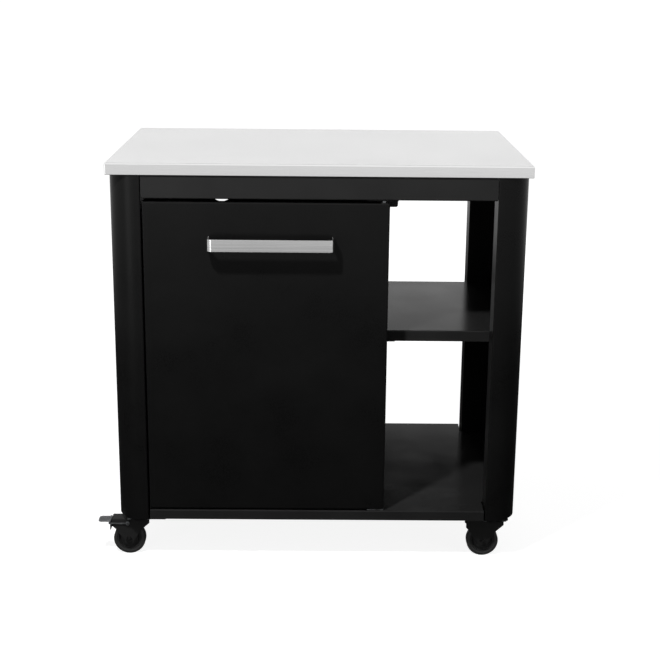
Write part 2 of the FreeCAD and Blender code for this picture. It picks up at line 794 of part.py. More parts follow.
def make_door():
    """The door's front tray and the sheet that closes its back, both bored for the bushes and screws."""
    middle_x, middle_z = f"({DOOR_LEFT} + {DOOR_RIGHT}) / 2", f"({DOOR_BOTTOM} + {DOOR_TOP}) / 2"
    skin = tray(DOOR_WIDTH, DOOR_HEIGHT, "door_thickness", "door_sheet", "door_bend")
    place(skin, (middle_x, f"-{DOOR_BACK}", middle_z), FACE_FRONT)
    bore_at = (PIVOT_X, PIVOT_Y, f"{DOOR_BOTTOM} - door_sheet")
    bores = rod("bush_radius", f"{DOOR_HEIGHT} + 2 * door_sheet", bore_at)
    sub_part("door_skin", cut(skin, bores, handle_screw_shanks()))
    margin = "(2 * (door_sheet + liner_clearance))"
    width, height = f"({DOOR_WIDTH} - {margin})", f"({DOOR_HEIGHT} - {margin})"
    at = (f"{DOOR_LEFT} + {margin} / 2", f"-{DOOR_BACK} - liner_sheet", f"{DOOR_BOTTOM} + {margin} / 2")
    sub_part("door_liner", cut(box((width, "liner_sheet", height), at), handle_screw_shanks()))


def make_bushes():
    """A flanged bush in each end of the door, which turns on its pin."""
    bushes = []
    for flange_z, barrel_z in (
        (f"{DOOR_BOTTOM} - bush_flange_thickness", DOOR_BOTTOM),
        (DOOR_TOP, f"{DOOR_TOP} - bush_length"),
    ):
        flange = rod("bush_flange_radius", "bush_flange_thickness", (PIVOT_X, PIVOT_Y, flange_z))
        barrel = rod("bush_radius", "bush_length", (PIVOT_X, PIVOT_Y, barrel_z))
        bore_z = f"{barrel_z} - bush_length"
        bore = rod("pivot_radius + running_clearance", "3 * bush_length", (PIVOT_X, PIVOT_Y, bore_z))
        bushes.append(cut(fused([flange, barrel]), bore))
    sub_part("hinge_bushes", group(bushes))


def handle_screw_places():
    """One screw in the middle of each handle foot."""
    reach = "(handle_length / 2 - handle_foot / 2)"
    return [f"{HANDLE_X} - {reach}", f"{HANDLE_X} + {reach}"]


def handle_screw_shanks():
    """The shanks, from the liner's back through the door into the handle's feet."""
    length = "(door_thickness + handle_sheet)"
    y, z = f"-{DOOR_FRONT} - handle_sheet", f"{HANDLE_BOTTOM} + handle_height / 2"
    return group([rod("screw_radius", length, (x, y, z), ALONG_Y) for x in handle_screw_places()])


def make_handle():
    """A flat strip bent back at both ends, with narrow tabs turned in against the door for its screws."""
    half, foot = "(handle_length / 2)", "(handle_length / 2 - handle_foot)"
    curl_x = "(handle_length / 2 - handle_curl)"
    inner, small = "(handle_length / 2 - handle_sheet)", "handle_bend - handle_sheet"
    bend_x, bend_y = "(handle_length / 2 - handle_bend)", "(handle_standoff - handle_bend)"
    back = "(handle_standoff - handle_sheet)"
    outline = [
        (foot, "0"), (curl_x, "0", "handle_curl", -1), (half, "-handle_curl"),
        (half, f"-{bend_y}", "handle_bend", -1), (bend_x, "-handle_standoff"),
        (f"-{bend_x}", "-handle_standoff", "handle_bend", -1), (f"-{half}", f"-{bend_y}"),
        (f"-{half}", "-handle_curl", "handle_curl", -1), (f"-{curl_x}", "0"),
        (f"-{foot}", "0"), (f"-{foot}", "-handle_sheet"), (f"-{inner}", "-handle_sheet"),
        (f"-{inner}", f"-{bend_y}", small, 1), (f"-{bend_x}", f"-{back}"),
        (bend_x, f"-{back}", small, 1), (inner, f"-{bend_y}"), (inner, "-handle_sheet"),
        (foot, "-handle_sheet"),
    ]
    body = new_body("Handle")
    sketch = sketch_on(body, "XY_Plane")
    draw_outline(sketch, outline)
    pad(body, sketch, "handle_height")
    holes = sketch_on(body, "XZ_Plane")
    reach = "(handle_length / 2 - handle_foot / 2)"
    for x in (f"-{reach}", reach):
        draw_circle(holes, x, "handle_height / 2", "screw_radius")
    pocket_through(body, holes, "2 * handle_sheet")
    strip = place(body, (HANDLE_X, f"-{DOOR_FRONT}", HANDLE_BOTTOM))
    margin = "(handle_height - handle_tab) / 2"
    trims = []
    for x in (f"{HANDLE_X} - {curl_x}", f"{HANDLE_X} + {foot}"):
        for z in (HANDLE_BOTTOM, f"{HANDLE_BOTTOM} + handle_height - {margin}"):
            at = (x, f"-{DOOR_FRONT} - handle_sheet", z)
            trims.append(box((f"{curl_x} - {foot}", "handle_sheet", margin), at))
    sub_part("handle", cut(strip, group(trims)))


def make_handle_screws():
    """The handle's screws, with their heads on the liner."""
    screws = []
    for x, shank in zip(handle_screw_places(), handle_screw_shanks().Links):
        at = (x, f"-{DOOR_BACK}", f"{HANDLE_BOTTOM} + handle_height / 2")
        screws.append(fused([shank, rod("screw_head_radius", "screw_head_height", at, ALONG_Y)]))
    sub_part("handle_screws", group(screws))


def make_catch():
    """A magnet on the column's inner face, and the steel plate on the door that it holds."""
    strike_back = f"(-{DOOR_BACK} + strike_thickness)"
    z = f"({BASE_TOP} + catch_rise)"
    catch_at = (f"-{COLUMN_X}", f"{strike_back} + seat_clearance", z)
    sub_part("door_catch", box(("catch_width", "catch_depth", "catch_height"), catch_at))
    strike_at = (f"{DOOR_LEFT} + strike_inset", f"-{DOOR_BACK}", z)
    sub_part("catch_strike", box(("strike_width", "strike_thickness", "catch_height"), strike_at))


# Casters


def bolt_places():
    """The corners of a caster's bolt pattern, from its swivel axis."""
    return [(signed(sx, "bolt_spacing / 2"), signed(sy, "bolt_spacing / 2")) for sx, sy in CORNERS.values()]


def caster_axis(sx, sy):
    """A caster's swivel axis on the floor."""
    return signed(sx, CASTER_X), signed(sy, CASTER_Y)


def bolt_shanks(sx, sy):
    """One caster's bolt shanks, through its plate and the corner plate."""
    x, y = caster_axis(sx, sy)
    length = "(caster_plate_thickness + corner_plate_thickness)"
    places = [(f"{x} + {dx}", f"{y} + {dy}", PLATE_UNDER) for dx, dy in bolt_places()]
    return [rod("bolt_radius", length, place) for place in places]


def make_corner_plates():
    """A plate under each column, rounded like the column, which carries the caster."""
    plates = []
    for sx, sy in CORNERS.values():
        far_x, far_y = f"({SIDE} - corner_plate_inset)", f"({FRONT} - corner_plate_inset)"
        x = f"{far_x} - corner_plate_width" if sx > 0 else f"-{far_x}"
        y = f"{far_y} - corner_plate_depth" if sy > 0 else f"-{far_y}"
        plate = box(("corner_plate_width", "corner_plate_depth", "corner_plate_thickness"), (x, y, PLATE_TOP))
        corner = (sx * value(far_x), sy * value(far_y))

        def is_outer(first, last, corner=corner):
            return is_upright(first, last) and math.hypot(first.x - corner[0], first.y - corner[1]) < NEAR

        outer = rounded(plate, "column_radius - corner_plate_inset", is_outer)
        plates.append(cut(outer, group(bolt_shanks(sx, sy))))
    sub_part("corner_plates", group(plates))


def make_caster_plates():
    """Each caster's plate with its race below, bored for the kingpin and the bolts."""
    for name, (sx, sy) in CORNERS.items():
        x, y = caster_axis(sx, sy)
        half = "caster_plate_side / 2"
        side = "caster_plate_side"
        slab = box((side, side, "caster_plate_thickness"), (f"{x} - {half}", f"{y} - {half}", PLATE_UNDER))
        plate = rounded(slab, "caster_plate_corner", is_upright)
        race = rod("race_radius", "race_height - seat_clearance", (x, y, f"{CROWN_TOP} + seat_clearance"))
        bore = rod("kingpin_radius", "caster_height", (x, y, "0"))
        sub_part("caster_plate_" + name, cut(fused([plate, race]), bore, group(bolt_shanks(sx, sy))))


def make_kingpins():
    """A headed pin through each caster's plate and fork."""
    pins = []
    for sx, sy in CORNERS.values():
        x, y = caster_axis(sx, sy)
        head_top = f"({CROWN_UNDER} - seat_clearance)"
        shank = rod("kingpin_radius", f"{PLATE_TOP} - {head_top}", (x, y, head_top))
        head = rod("kingpin_head_radius", "kingpin_head_height", (x, y, f"{head_top} - kingpin_head_height"))
        pins.append(fused([shank, head]))
    sub_part("kingpins", group(pins))


def make_bolts():
    """Four headed bolts for each caster."""
    bolts = []
    for sx, sy in CORNERS.values():
        x, y = caster_axis(sx, sy)
        for (dx, dy), shank in zip(bolt_places(), bolt_shanks(sx, sy)):
            at = (f"{x} + {dx}", f"{y} + {dy}", f"{PLATE_UNDER} - bolt_head_height")
            bolts.append(fused([shank, hexagon("bolt_head_radius", "bolt_head_height", at)]))
    sub_part("caster_bolts", group(bolts))


def cheek_outline():
    """The fork's side view, from its crown down to the eye round the axle."""
    wheel_x, wheel_z = "(-caster_trail)", "wheel_radius"
    waist_z = f"({wheel_z} + fork_waist_rise)"
    return [
        ("-fork_rear_reach", CROWN_TOP),
        ("-fork_rear_reach", f"{CROWN_TOP} - fork_rear_depth"),
        (f"{wheel_x} - fork_waist_half", waist_z),
        (f"{wheel_x} - fork_eye_radius", wheel_z, "fork_eye_radius", 1),
        (wheel_x, f"{wheel_z} - fork_eye_radius", "fork_eye_radius", 1),
        (f"{wheel_x} + fork_eye_radius", wheel_z),
        (f"{wheel_x} + fork_waist_half", waist_z),
        ("fork_front_reach", f"{CROWN_TOP} - fork_front_depth"),
        ("fork_front_reach", CROWN_TOP),
    ]


def make_fork(name, sx, sy):
    """One bent fork: a crown with a round head, and two cheeks that straddle the wheel."""
    body = new_body("Fork")
    side = sketch_on(body, "XZ_Plane")
    draw_outline(side, cheek_outline())
    block = pad(body, side, FORK_WIDTH, symmetric=True)
    top = value(CROWN_TOP)

    def is_shoulder(first, last):
        return abs(first.y - last.y) < NEAR and abs(first.z - top) < NEAR and abs(last.z - top) < NEAR

    filleted(body, block, "fork_bend", is_shoulder)
    gap = sketch_on(body, "XZ_Plane")
    wide = "2 * fork_rear_reach"
    draw_outline(gap, [(f"-{wide}", "0"), (wide, "0"), (wide, CROWN_UNDER), (f"-{wide}", CROWN_UNDER)])
    pocket_through(body, gap, FORK_GAP)
    head = sketch_on(body, "XY_Plane", CROWN_UNDER)
    draw_circle(head, "0", "0", "fork_head_radius")
    pad(body, head, "fork_sheet")
    bore = sketch_on(body, "XY_Plane")
    draw_circle(bore, "0", "0", "kingpin_radius + running_clearance")
    pocket_through(body, bore)
    eyes = sketch_on(body, "XZ_Plane")
    draw_circle(eyes, "-caster_trail", "wheel_radius", "axle_radius")
    if name in BRAKED:
        draw_circle(eyes, "-pedal_pivot_x", PEDAL_PIVOT_Z, "pedal_pin_radius")
    pocket_through(body, eyes)
    sub_part("caster_fork_" + name, place(body, (*caster_axis(sx, sy), "0")))


def wheel_axis(sx, sy):
    """The middle of a caster's wheel."""
    x, y = caster_axis(sx, sy)
    return f"({x} - caster_trail)", y, "wheel_radius"


def make_axle(name, sx, sy):
    """A headed axle across the fork, with a nut on its far end."""
    x, y, z = wheel_axis(sx, sy)
    half = f"({FORK_WIDTH} / 2)"
    shank = rod("axle_radius", f"{FORK_WIDTH} + axle_head_height", (x, f"{y} - {half}", z), ALONG_Y)
    head = rod("axle_head_radius", "axle_head_height", (x, f"{y} - {half} - axle_head_height", z), ALONG_Y)
    nut = hexagon("axle_head_radius", "axle_head_height", (x, f"{y} + {half}", z), ALONG_Y)
    sub_part("wheel_axle_" + name, fused([shank, head, nut]))


def make_wheel(name, sx, sy):
    """A core with a hub, web and rim, and the tyre on it, both turned round the axle."""
    bore = "(axle_radius + running_clearance)"
    hub = f"({FORK_GAP} / 2 - seat_clearance)"
    rim_inner = "(tyre_inner_radius - rim_thickness)"
    body = new_body("WheelCore")
    half = [
        ("hub_radius", hub), ("hub_radius", "web_width / 2"), (rim_inner, "web_width / 2"),
        (rim_inner, "rim_width / 2"), ("tyre_inner_radius", "rim_width / 2"),
    ]
    mirrored = [(x, f"-({y})") for x, y in reversed(half)]
    sketch = sketch_on(body, "XY_Plane")
    draw_outline(sketch, [(bore, f"-{hub}"), (bore, hub)] + half + mirrored)
    revolved(body, sketch)
    sub_part("wheel_core_" + name, place(body, wheel_axis(sx, sy)))
    body = new_body("Tyre")
    edge, wide = "(wheel_radius - tyre_shoulder)", "(wheel_width / 2)"
    tread = "(wheel_width / 2 - tyre_shoulder)"
    sketch = sketch_on(body, "XY_Plane")
    draw_outline(sketch, [
        ("tyre_inner_radius", "-rim_width / 2"), (edge, f"-{wide}", "tyre_shoulder", 1),
        ("wheel_radius", f"-{tread}"), ("wheel_radius", tread, "tyre_shoulder", 1), (edge, wide),
        ("tyre_inner_radius", "rim_width / 2"),
    ])
    revolved(body, sketch)
    sub_part("wheel_tyre_" + name, place(body, wheel_axis(sx, sy)))


def make_pedal(name, sx, sy):
    """A brake pedal that straddles the fork: tongue, crossbar, two arms with eyes, and the shoe."""
    x, y = caster_axis(sx, sy)
    pivot_x, near_y, span = f"{x} - pedal_pivot_x", f"{y} - {PEDAL_SPAN} / 2", PEDAL_SPAN
    arm_z = f"({PEDAL_PIVOT_Z} - pedal_arm_height / 2)"
    tongue_z = f"({PEDAL_PIVOT_Z} + pedal_rise)"
    tip_x = f"({x} - pedal_reach)"
    bar_right = f"({x} - {PEDAL_BAR_X})"
    tongue_at = (tip_x, f"{y} - pedal_width / 2", tongue_z)
    tongue = box((f"{bar_right} - {tip_x}", "pedal_width", "pedal_sheet"), tongue_at)

    def is_tip(first, last, tip=value(tip_x)):
        return is_upright(first, last) and abs(first.x - tip) < NEAR

    pieces = [
        rounded(tongue, "pedal_corner", is_tip),
        box(("pedal_bar_width", span, f"{tongue_z} + pedal_sheet - {arm_z}"),
            (f"{bar_right} - pedal_bar_width", near_y, arm_z)),
        box(("shoe_sheet", "wheel_width", f"{arm_z} - {PEDAL_PIVOT_Z} + shoe_drop"),
            (f"{bar_right} - shoe_sheet", f"{y} - wheel_width / 2", f"{PEDAL_PIVOT_Z} - shoe_drop")),
    ]
    for start in (near_y, f"{y} + {span} / 2 - pedal_arm_width"):
        length = f"{PEDAL_BAR_X} - pedal_pivot_x"
        pieces.append(box((length, "pedal_arm_width", "pedal_arm_height"), (bar_right, start, arm_z)))
        boss_at = (pivot_x, start, PEDAL_PIVOT_Z)
        pieces.append(rod("pedal_boss_radius", "pedal_arm_width", boss_at, ALONG_Y))
    eye = rod("pedal_pin_radius + running_clearance", span, (pivot_x, near_y, PEDAL_PIVOT_Z), ALONG_Y)
    sub_part("brake_pedal_" + name, cut(fused(pieces), eye))
    half = f"({span} / 2 + seat_clearance)"
    pin = [rod("pedal_pin_radius", f"2 * {half}", (pivot_x, f"{y} - {half}", PEDAL_PIVOT_Z), ALONG_Y)]
    for start in (f"{y} - {half} - pin_head_height", f"{y} + {half}"):
        pin.append(rod("pin_head_radius", "pin_head_height", (pivot_x, start, PEDAL_PIVOT_Z), ALONG_Y))
    sub_part("pedal_pin_" + name, fused(pin))


def make_casters():
    """The swivelling half of each caster, and the pedal where it has a brake."""
    for name, (sx, sy) in CORNERS.items():
        make_fork(name, sx, sy)
        make_axle(name, sx, sy)
        make_wheel(name, sx, sy)
        if name in BRAKED:
            make_pedal(name, sx, sy)


def check_document():
    """Stops on a failed object or a bad shape."""
    for item in doc.Objects:
        if "Invalid" in item.State or "Error" in item.State:
            raise ValueError(f"{item.Name} ({item.Label}) failed: {item.State}")
    for label, item in parts.items():
        if item.Shape.isNull() or not item.Shape.isValid() or not item.Shape.Solids:
            raise ValueError(label + " has no valid solid")


def write_parts():
    """Writes one file for each sub-part."""
    os.makedirs("parts", exist_ok=True)
    for label, item in parts.items():
        item.Shape.exportStep(f"parts/{label}.step")


sizes = make_sheet()
make_worktop()
make_worktop_screws()
make_columns()
make_rails()
make_base()
make_shelf()
make_walls()
make_grommet()
make_hinge_brackets()
make_hinge_pins()
make_hinge_screws()
make_door()
make_bushes()
make_handle()
make_handle_screws()
make_catch()
make_corner_plates()
make_caster_plates()
make_kingpins()
make_bolts()
make_casters()
doc.recompute()
check_document()
write_parts()
print(len(parts), "sub-parts")
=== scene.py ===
"""Grill cart with storage: the looks of its pieces, in metres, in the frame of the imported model.

Steel worktop on a charcoal powder-coated cabinet frame, one door with a strip handle, and four casters.
"""

import logging
import math
from dataclasses import dataclass
from enum import Enum

import bmesh
import bpy
import numpy as np
from mathutils import Matrix, Vector

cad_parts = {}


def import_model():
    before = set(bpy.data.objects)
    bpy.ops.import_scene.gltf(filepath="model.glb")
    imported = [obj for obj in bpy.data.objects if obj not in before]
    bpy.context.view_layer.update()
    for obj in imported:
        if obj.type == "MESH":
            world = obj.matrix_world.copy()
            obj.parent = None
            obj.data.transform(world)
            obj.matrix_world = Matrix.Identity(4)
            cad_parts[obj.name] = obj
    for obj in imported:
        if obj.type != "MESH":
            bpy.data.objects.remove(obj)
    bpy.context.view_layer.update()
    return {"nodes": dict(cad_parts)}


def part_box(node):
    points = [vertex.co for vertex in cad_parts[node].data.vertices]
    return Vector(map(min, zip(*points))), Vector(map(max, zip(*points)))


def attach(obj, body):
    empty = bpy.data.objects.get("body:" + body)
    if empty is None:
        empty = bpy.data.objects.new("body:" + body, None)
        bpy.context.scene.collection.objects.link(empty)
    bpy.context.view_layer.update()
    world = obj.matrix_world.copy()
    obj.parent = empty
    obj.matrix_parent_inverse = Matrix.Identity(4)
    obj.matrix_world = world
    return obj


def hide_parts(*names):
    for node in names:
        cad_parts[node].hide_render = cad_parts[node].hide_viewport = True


LOG = logging.getLogger("cart")
MM = 0.001
FLAT_SHEET = "flat_sheet"  # the UV map that says where a point lay before the sheet was bent
WELD = 0.001 * MM  # points nearer than this are one
SHARP_DEGREES = 40.0  # an edge that turns by more stays sharp
SOFT_SHARP_DEGREES = 30.0  # the same on a copied piece, before its edges are rounded
FLAT_ANGLE = math.radians(0.5)  # triangles that turn by less are one flat face

Piece = bpy.types.Object
Tree = bpy.types.NodeTree
Node = bpy.types.Node
Socket = bpy.types.NodeSocket
Nodes = dict[str, Piece]
Point = tuple[float, float, float]


# Colours and shader nodes

WHITE = (1.0, 1.0, 1.0, 1.0)
TIMES = {"operation": "MULTIPLY"}
LARGER = {"operation": "MAXIMUM"}
PATTERN_REACH = (0.3, 0.7)  # a pattern shifts its finish between these levels, as most noise lies there


def linear(code: str) -> tuple[float, float, float, float]:
    """Turns an sRGB hex colour into linear red, green, blue and alpha.

    Args:
        code: The colour, such as "#1c1c1c".

    Returns:
        The four linear channels, alpha 1.
    """
    channels = np.array([int(code[start:start + 2], 16) for start in (1, 3, 5)]) / 255
    scaled = np.where(channels <= 0.04045, channels / 12.92, ((channels + 0.055) / 1.055) ** 2.4)
    red, green, blue = scaled.tolist()
    return red, green, blue, 1.0


def add_node(
    tree: Tree,
    kind: str,
    settings: dict | None = None,
    values: dict | None = None,
    links: dict | None = None,
) -> Node:
    """Adds a shader node with its settings, socket values and links.

    Args:
        tree: The node tree to add to.
        kind: The node's type name, after its common start.
        settings: Attributes to set on the node.
        values: Constants for input sockets, by socket name or index.
        links: Output sockets to join to input sockets, by socket name or index.

    Returns:
        The new node.
    """
    node = tree.nodes.new("ShaderNode" + kind)
    for name, setting in (settings or {}).items():
        setattr(node, name, setting)
    for socket, value in (values or {}).items():
        node.inputs[socket].default_value = value
    for socket, source in (links or {}).items():
        tree.links.new(source, node.inputs[socket])
    return node


def new_tree(store: bpy.types.bpy_prop_collection, name: str) -> tuple[bpy.types.ID, Tree]:
    """Makes a material or a world with an empty node tree.

    Args:
        store: Blender's materials or worlds.
        name: Its name.

    Returns:
        The material or world, and its tree.
    """
    made = store.new(name)
    made.use_nodes = True
    made.node_tree.nodes.clear()
    return made, made.node_tree


@dataclass(frozen=True)
class Grade:
    """A level that follows a reading, straight between two readings and flat beyond both.

    Attributes:
        near: The reading where the change starts.
        far: The reading where it ends.
        first: The level up to its start.
        last: The level from its end on.
    """

    near: float
    far: float
    first: float
    last: float

    def settings(self) -> dict[str, float]:
        """Returns the grade as the constants of a Map Range node."""
        return {"From Min": self.near, "From Max": self.far, "To Min": self.first, "To Max": self.last}


@dataclass(frozen=True)
class Pattern:
    """A pattern whose features have a real size, between 0 and 1.

    Attributes:
        size_mm: How large its features are along each axis, or across and along the sheet, in millimetres.
        detail: How many finer layers of noise it has.
        strength: How strong each finer layer is.
        cells: Whether it is cells with a level each, and not noise.
        on_sheet: Whether it lies as it did on the flat sheet, and not in the object's space.
    """

    size_mm: tuple[float, float, float]
    detail: float = 2.0
    strength: float = 0.5
    cells: bool = False
    on_sheet: bool = False

    def level(self, tree: Tree) -> Socket:
        """Adds the pattern's nodes to a material.

        Args:
            tree: The material's node tree.

        Returns:
            The pattern's level.
        """
        if self.on_sheet:
            place = add_node(tree, "UVMap", {"uv_map": FLAT_SHEET}).outputs["UV"]
        else:
            place = add_node(tree, "TexCoord").outputs["Object"]
        scale = [1 / (size * MM) for size in self.size_mm]
        sized = add_node(tree, "Mapping", values={"Scale": scale}, links={"Vector": place}).outputs[0]
        if self.cells:
            cells = add_node(tree, "TexVoronoi", values={"Scale": 1.0}, links={"Vector": sized})
            return add_node(tree, "SeparateColor", links={"Color": cells.outputs["Color"]}).outputs["Red"]
        values = {"Scale": 1.0, "Detail": self.detail, "Roughness": self.strength}
        return add_node(tree, "TexNoise", values=values, links={"Vector": sized}).outputs["Fac"]


@dataclass(frozen=True)
class Finish:
    """A surface finish that builds its material once.

    Attributes:
        name: The material's name.
        colour: Its sRGB hex colour.
        roughness: Its mean roughness.
        tint: The share by which its patterns make the colour darker and lighter.
        spread: The amount by which they take the roughness down and up.
        relief: How strongly its grain tilts the surface, from 0 to 1.
        depth_mm: How deep the grain is.
        metallic: 1 for bare metal.
        sheen: The specular level.
        stretch: How much wider a highlight is across the scratches, from 0 to 1.
        grain: Its fine pattern.
        patches: A broad pattern mixed with the grain.
        patch_share: The share of the patches in the mixture.
    """

    name: str
    colour: str
    roughness: float
    tint: float = 0.1
    spread: float = 0.05
    relief: float = 0.0
    depth_mm: float = 0.0
    metallic: float = 0.0
    sheen: float = 0.5
    stretch: float = 0.0
    grain: Pattern = Pattern((1.0, 1.0, 1.0))
    patches: Pattern = Pattern((200.0, 200.0, 200.0))
    patch_share: float = 0.0

    def material(self) -> bpy.types.Material:
        """Builds the material on first use.

        Its patterns shift the colour and the roughness round their means, and its grain tilts the surface.

        Returns:
            The material.
        """
        found = bpy.data.materials.get(self.name)
        if found:
            return found
        made, tree = new_tree(bpy.data.materials, self.name)
        shader = add_node(tree, "BsdfPrincipled", values={
            "Metallic": self.metallic, "Specular IOR Level": self.sheen, "Anisotropic": self.stretch,
        })
        add_node(tree, "OutputMaterial", links={"Surface": shader.outputs[0]})
        pattern = grain = self.grain.level(tree)
        if self.patch_share:
            both = {"A": grain, "B": self.patches.level(tree)}
            pattern = add_node(tree, "Mix", values={"Factor": self.patch_share}, links=both).outputs["Result"]
        base = linear(self.colour)
        ramp = add_node(tree, "ValToRGB", links={"Fac": pattern})
        shifts = (1 - self.tint, 1 + self.tint)
        for stop, level, shift in zip(ramp.color_ramp.elements, PATTERN_REACH, shifts):
            stop.position = level
            stop.color = (*[min(1.0, channel * shift) for channel in base[:3]], 1.0)
        grade = Grade(*PATTERN_REACH, self.roughness - self.spread, self.roughness + self.spread)
        rough = add_node(tree, "MapRange", values=grade.settings(), links={"Value": pattern})
        driven = {"Base Color": ramp.outputs["Color"], "Roughness": rough.outputs[0]}
        if self.relief:
            values = {"Strength": self.relief, "Distance": self.depth_mm * MM}
            driven["Normal"] = add_node(tree, "Bump", values=values, links={"Height": grain}).outputs[0]
        if self.stretch:
            settings = {"direction_type": "UV_MAP", "uv_map": FLAT_SHEET}
            driven["Tangent"] = add_node(tree, "Tangent", settings).outputs[0]
        for socket, source in driven.items():
            tree.links.new(source, shader.inputs[socket])
        return made


@dataclass(frozen=True)
class PowderCoat(Finish):
    """Epoxy-polyester powder, sprayed and baked: matt, with a fine orange peel that breaks up its sheen.

    The real 0.8 mm peel is drawn coarser so that it shows. Nine patches to the metre are a little thicker.
    """

    tint: float = 0.16
    relief: float = 0.2
    depth_mm: float = 0.04
    sheen: float = 0.12
    grain: Pattern = Pattern((1.6, 1.6, 1.6))
    patches: Pattern = Pattern((1000 / 9, 1000 / 9, 1000 / 9), 3.0)
    patch_share: float = 0.65


@dataclass(frozen=True)
class BrushedStainless(Finish):
    """Austenitic stainless, belt-brushed before it was bent, with faint clouds from handling.

    Long fine scratches stretch its highlights across them and leave them sharp along them, so a bend that
    runs across them shows a bright band. The real 0.1 mm scratches are drawn coarser so that they show.
    """

    tint: float = 0.05
    relief: float = 0.3
    depth_mm: float = 0.02
    metallic: float = 1.0
    stretch: float = 0.75
    grain: Pattern = Pattern((0.8, 70.0, 1000.0), 4.0, 0.65, on_sheet=True)
    patch_share: float = 0.25


@dataclass(frozen=True)
class ZincPlate(Finish):
    """Mild steel, stamped or turned and plated: dull metal with faint lighter and darker crystals."""

    tint: float = 0.12
    spread: float = 0.08
    metallic: float = 1.0
    grain: Pattern = Pattern((2.5, 2.5, 2.5), cells=True)


@dataclass(frozen=True)
class Moulded(Finish):
    """Injection-moulded nylon or rubber: one colour right through, with the grain of a spark-eroded mould."""

    tint: float = 0.2
    spread: float = 0.08
    relief: float = 0.5
    depth_mm: float = 0.05
    sheen: float = 0.3
    grain: Pattern = Pattern((0.9, 0.9, 0.9), 3.0)


@dataclass(frozen=True)
class PressedBoard(Finish):
    """Resin-bound wood chips pressed into board and left raw: speckled tan, with flakes that lie flat."""

    tint: float = 0.25
    spread: float = 0.06
    relief: float = 0.4
    depth_mm: float = 0.2
    grain: Pattern = Pattern((5.0, 2.5, 1.25), cells=True)


# Sheet brushed from side to side: a pale even grey that shows the sweep's painted reflection only as soft
# light.
STAINLESS = BrushedStainless("brushed stainless sheet", "#efefef", 0.14, stretch=0.4)
# Strip brushed along its length with a coarse belt: long light and dark streaks, highlights spread across.
HANDLE_STAINLESS = BrushedStainless(
    "brushed stainless strip", "#f2f2f2", 0.18, tint=0.2, stretch=0.85,
    grain=Pattern((2.0, 400.0, 1000.0), 4.0, 0.65, on_sheet=True),
)
# Matt powder on the upright sheet, the columns, the door and the walls: near black, with a faint sheen.
CHARCOAL = PowderCoat("charcoal powder coat", "#131313", 0.30)
# The same powder where it flowed out flat on the lying tray, drawn lighter than the door's: painted light for
# the light its top catches from above, with the bay mirrored softly.
TRAY_CHARCOAL_PAINTED_LIGHT = PowderCoat("charcoal powder coat, painted lighter, bottom tray", "#282828", 0.15, sheen=0.08)
# The same powder on the rails and the shelf, drawn one grey step lighter than the door's: painted light,
# for the light that these parts catch.
RAIL_CHARCOAL_PAINTED_LIGHT = PowderCoat("charcoal powder coat, painted lighter, rails and shelf", "#262626", 0.22)
# Thin coat on thick pressed steel: the peel is finer, and the bends catch a dull light.
CASTER_COAT = PowderCoat(
    "black powder coat on pressed steel", "#282828", 0.44, sheen=0.1, grain=Pattern((1.2, 1.2, 1.2))
)
# Plated screws, pins, angles and pedals: the only pale metal under the cart.
ZINC = ZincPlate("zinc-plated steel", "#8c8e90", 0.4)
# Oil-blacked screws and axles: dark metal whose highlights still look like steel.
BLACKED = ZincPlate("blacked steel", "#4a4a4a", 0.36)
# Wheel discs, bushes and the catch: satin black plastic, a shade darker than the tyres.
NYLON = Moulded("moulded black nylon", "#262626", 0.45)
# Tyres: a dry dark grey with hardly any highlight.
TYRE = Moulded("moulded tyre rubber", "#2e2e2e", 0.6, depth_mm=0.08, grain=Pattern((0.7, 0.7, 0.7), 3.0))
# The ring in the hose hole: soft black rubber with a faint light along its rim.
GROMMET = Moulded("moulded grommet rubber", "#1a1a1a", 0.6)
# The board in the worktop: dull tan, seen only from underneath.
BOARD = PressedBoard("raw pressed board", "#9c7b55", 0.8)


# Surfaces on grids


@dataclass(frozen=True)
class Shell:
    """A surface sampled on a grid of rows and columns.

    Attributes:
        points: The grid, as rows by columns by 3, in metres.
        loop_rows: Whether the last row joins the first.
        loop_columns: Whether the last column joins the first.
        capped: Whether the first and last rows are closed with a face each.
        sheet: Where each point lay on the flat sheet, across and along its scratches, in metres.
    """

    points: np.ndarray
    loop_rows: bool = False
    loop_columns: bool = True
    capped: bool = False
    sheet: np.ndarray | None = None

    def faces(self, start: int) -> list[list[int]]:
        """Joins each grid cell's corners (i, j), (i+1, j), (i+1, j+1), (i, j+1) into a quad.

        Args:
            start: The number of the first point in the mesh.

        Returns:
            The faces, as lists of point numbers.
        """
        rows, columns = self.points.shape[:2]
        number = start + np.arange(rows * columns).reshape(rows, columns)
        ends = [number[0, ::-1].tolist(), number[-1].tolist()] if self.capped else []
        if self.loop_rows:
            number = np.vstack([number, number[:1]])
        if self.loop_columns:
            number = np.hstack([number, number[:, :1]])
        quads = np.stack([number[:-1, :-1], number[1:, :-1], number[1:, 1:], number[:-1, 1:]], axis=-1)
        return quads.reshape(-1, 4).tolist() + ends


def finished_mesh(name: str, work: bmesh.types.BMesh, sharp_degrees: float = SHARP_DEGREES) -> Piece:
    """Merges doubled points, turns the faces outwards and shades smooth up to an angle.

    Args:
        name: The piece's name.
        work: The mesh being edited, which is freed.
        sharp_degrees: The angle from which an edge stays sharp.

    Returns:
        The piece, at the origin.
    """
    bmesh.ops.remove_doubles(work, verts=work.verts, dist=WELD)
    bmesh.ops.recalc_face_normals(work, faces=work.faces)
    mesh = bpy.data.meshes.new(name)
    work.to_mesh(mesh)
    work.free()
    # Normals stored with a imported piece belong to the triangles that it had
    if "custom_normal" in mesh.attributes:
        mesh.attributes.remove(mesh.attributes["custom_normal"])
    mesh.polygons.foreach_set("use_smooth", np.ones(len(mesh.polygons), bool))
    mesh.set_sharp_from_angle(angle=math.radians(sharp_degrees))
    piece = bpy.data.objects.new(name, mesh)
    bpy.context.scene.collection.objects.link(piece)
    return piece


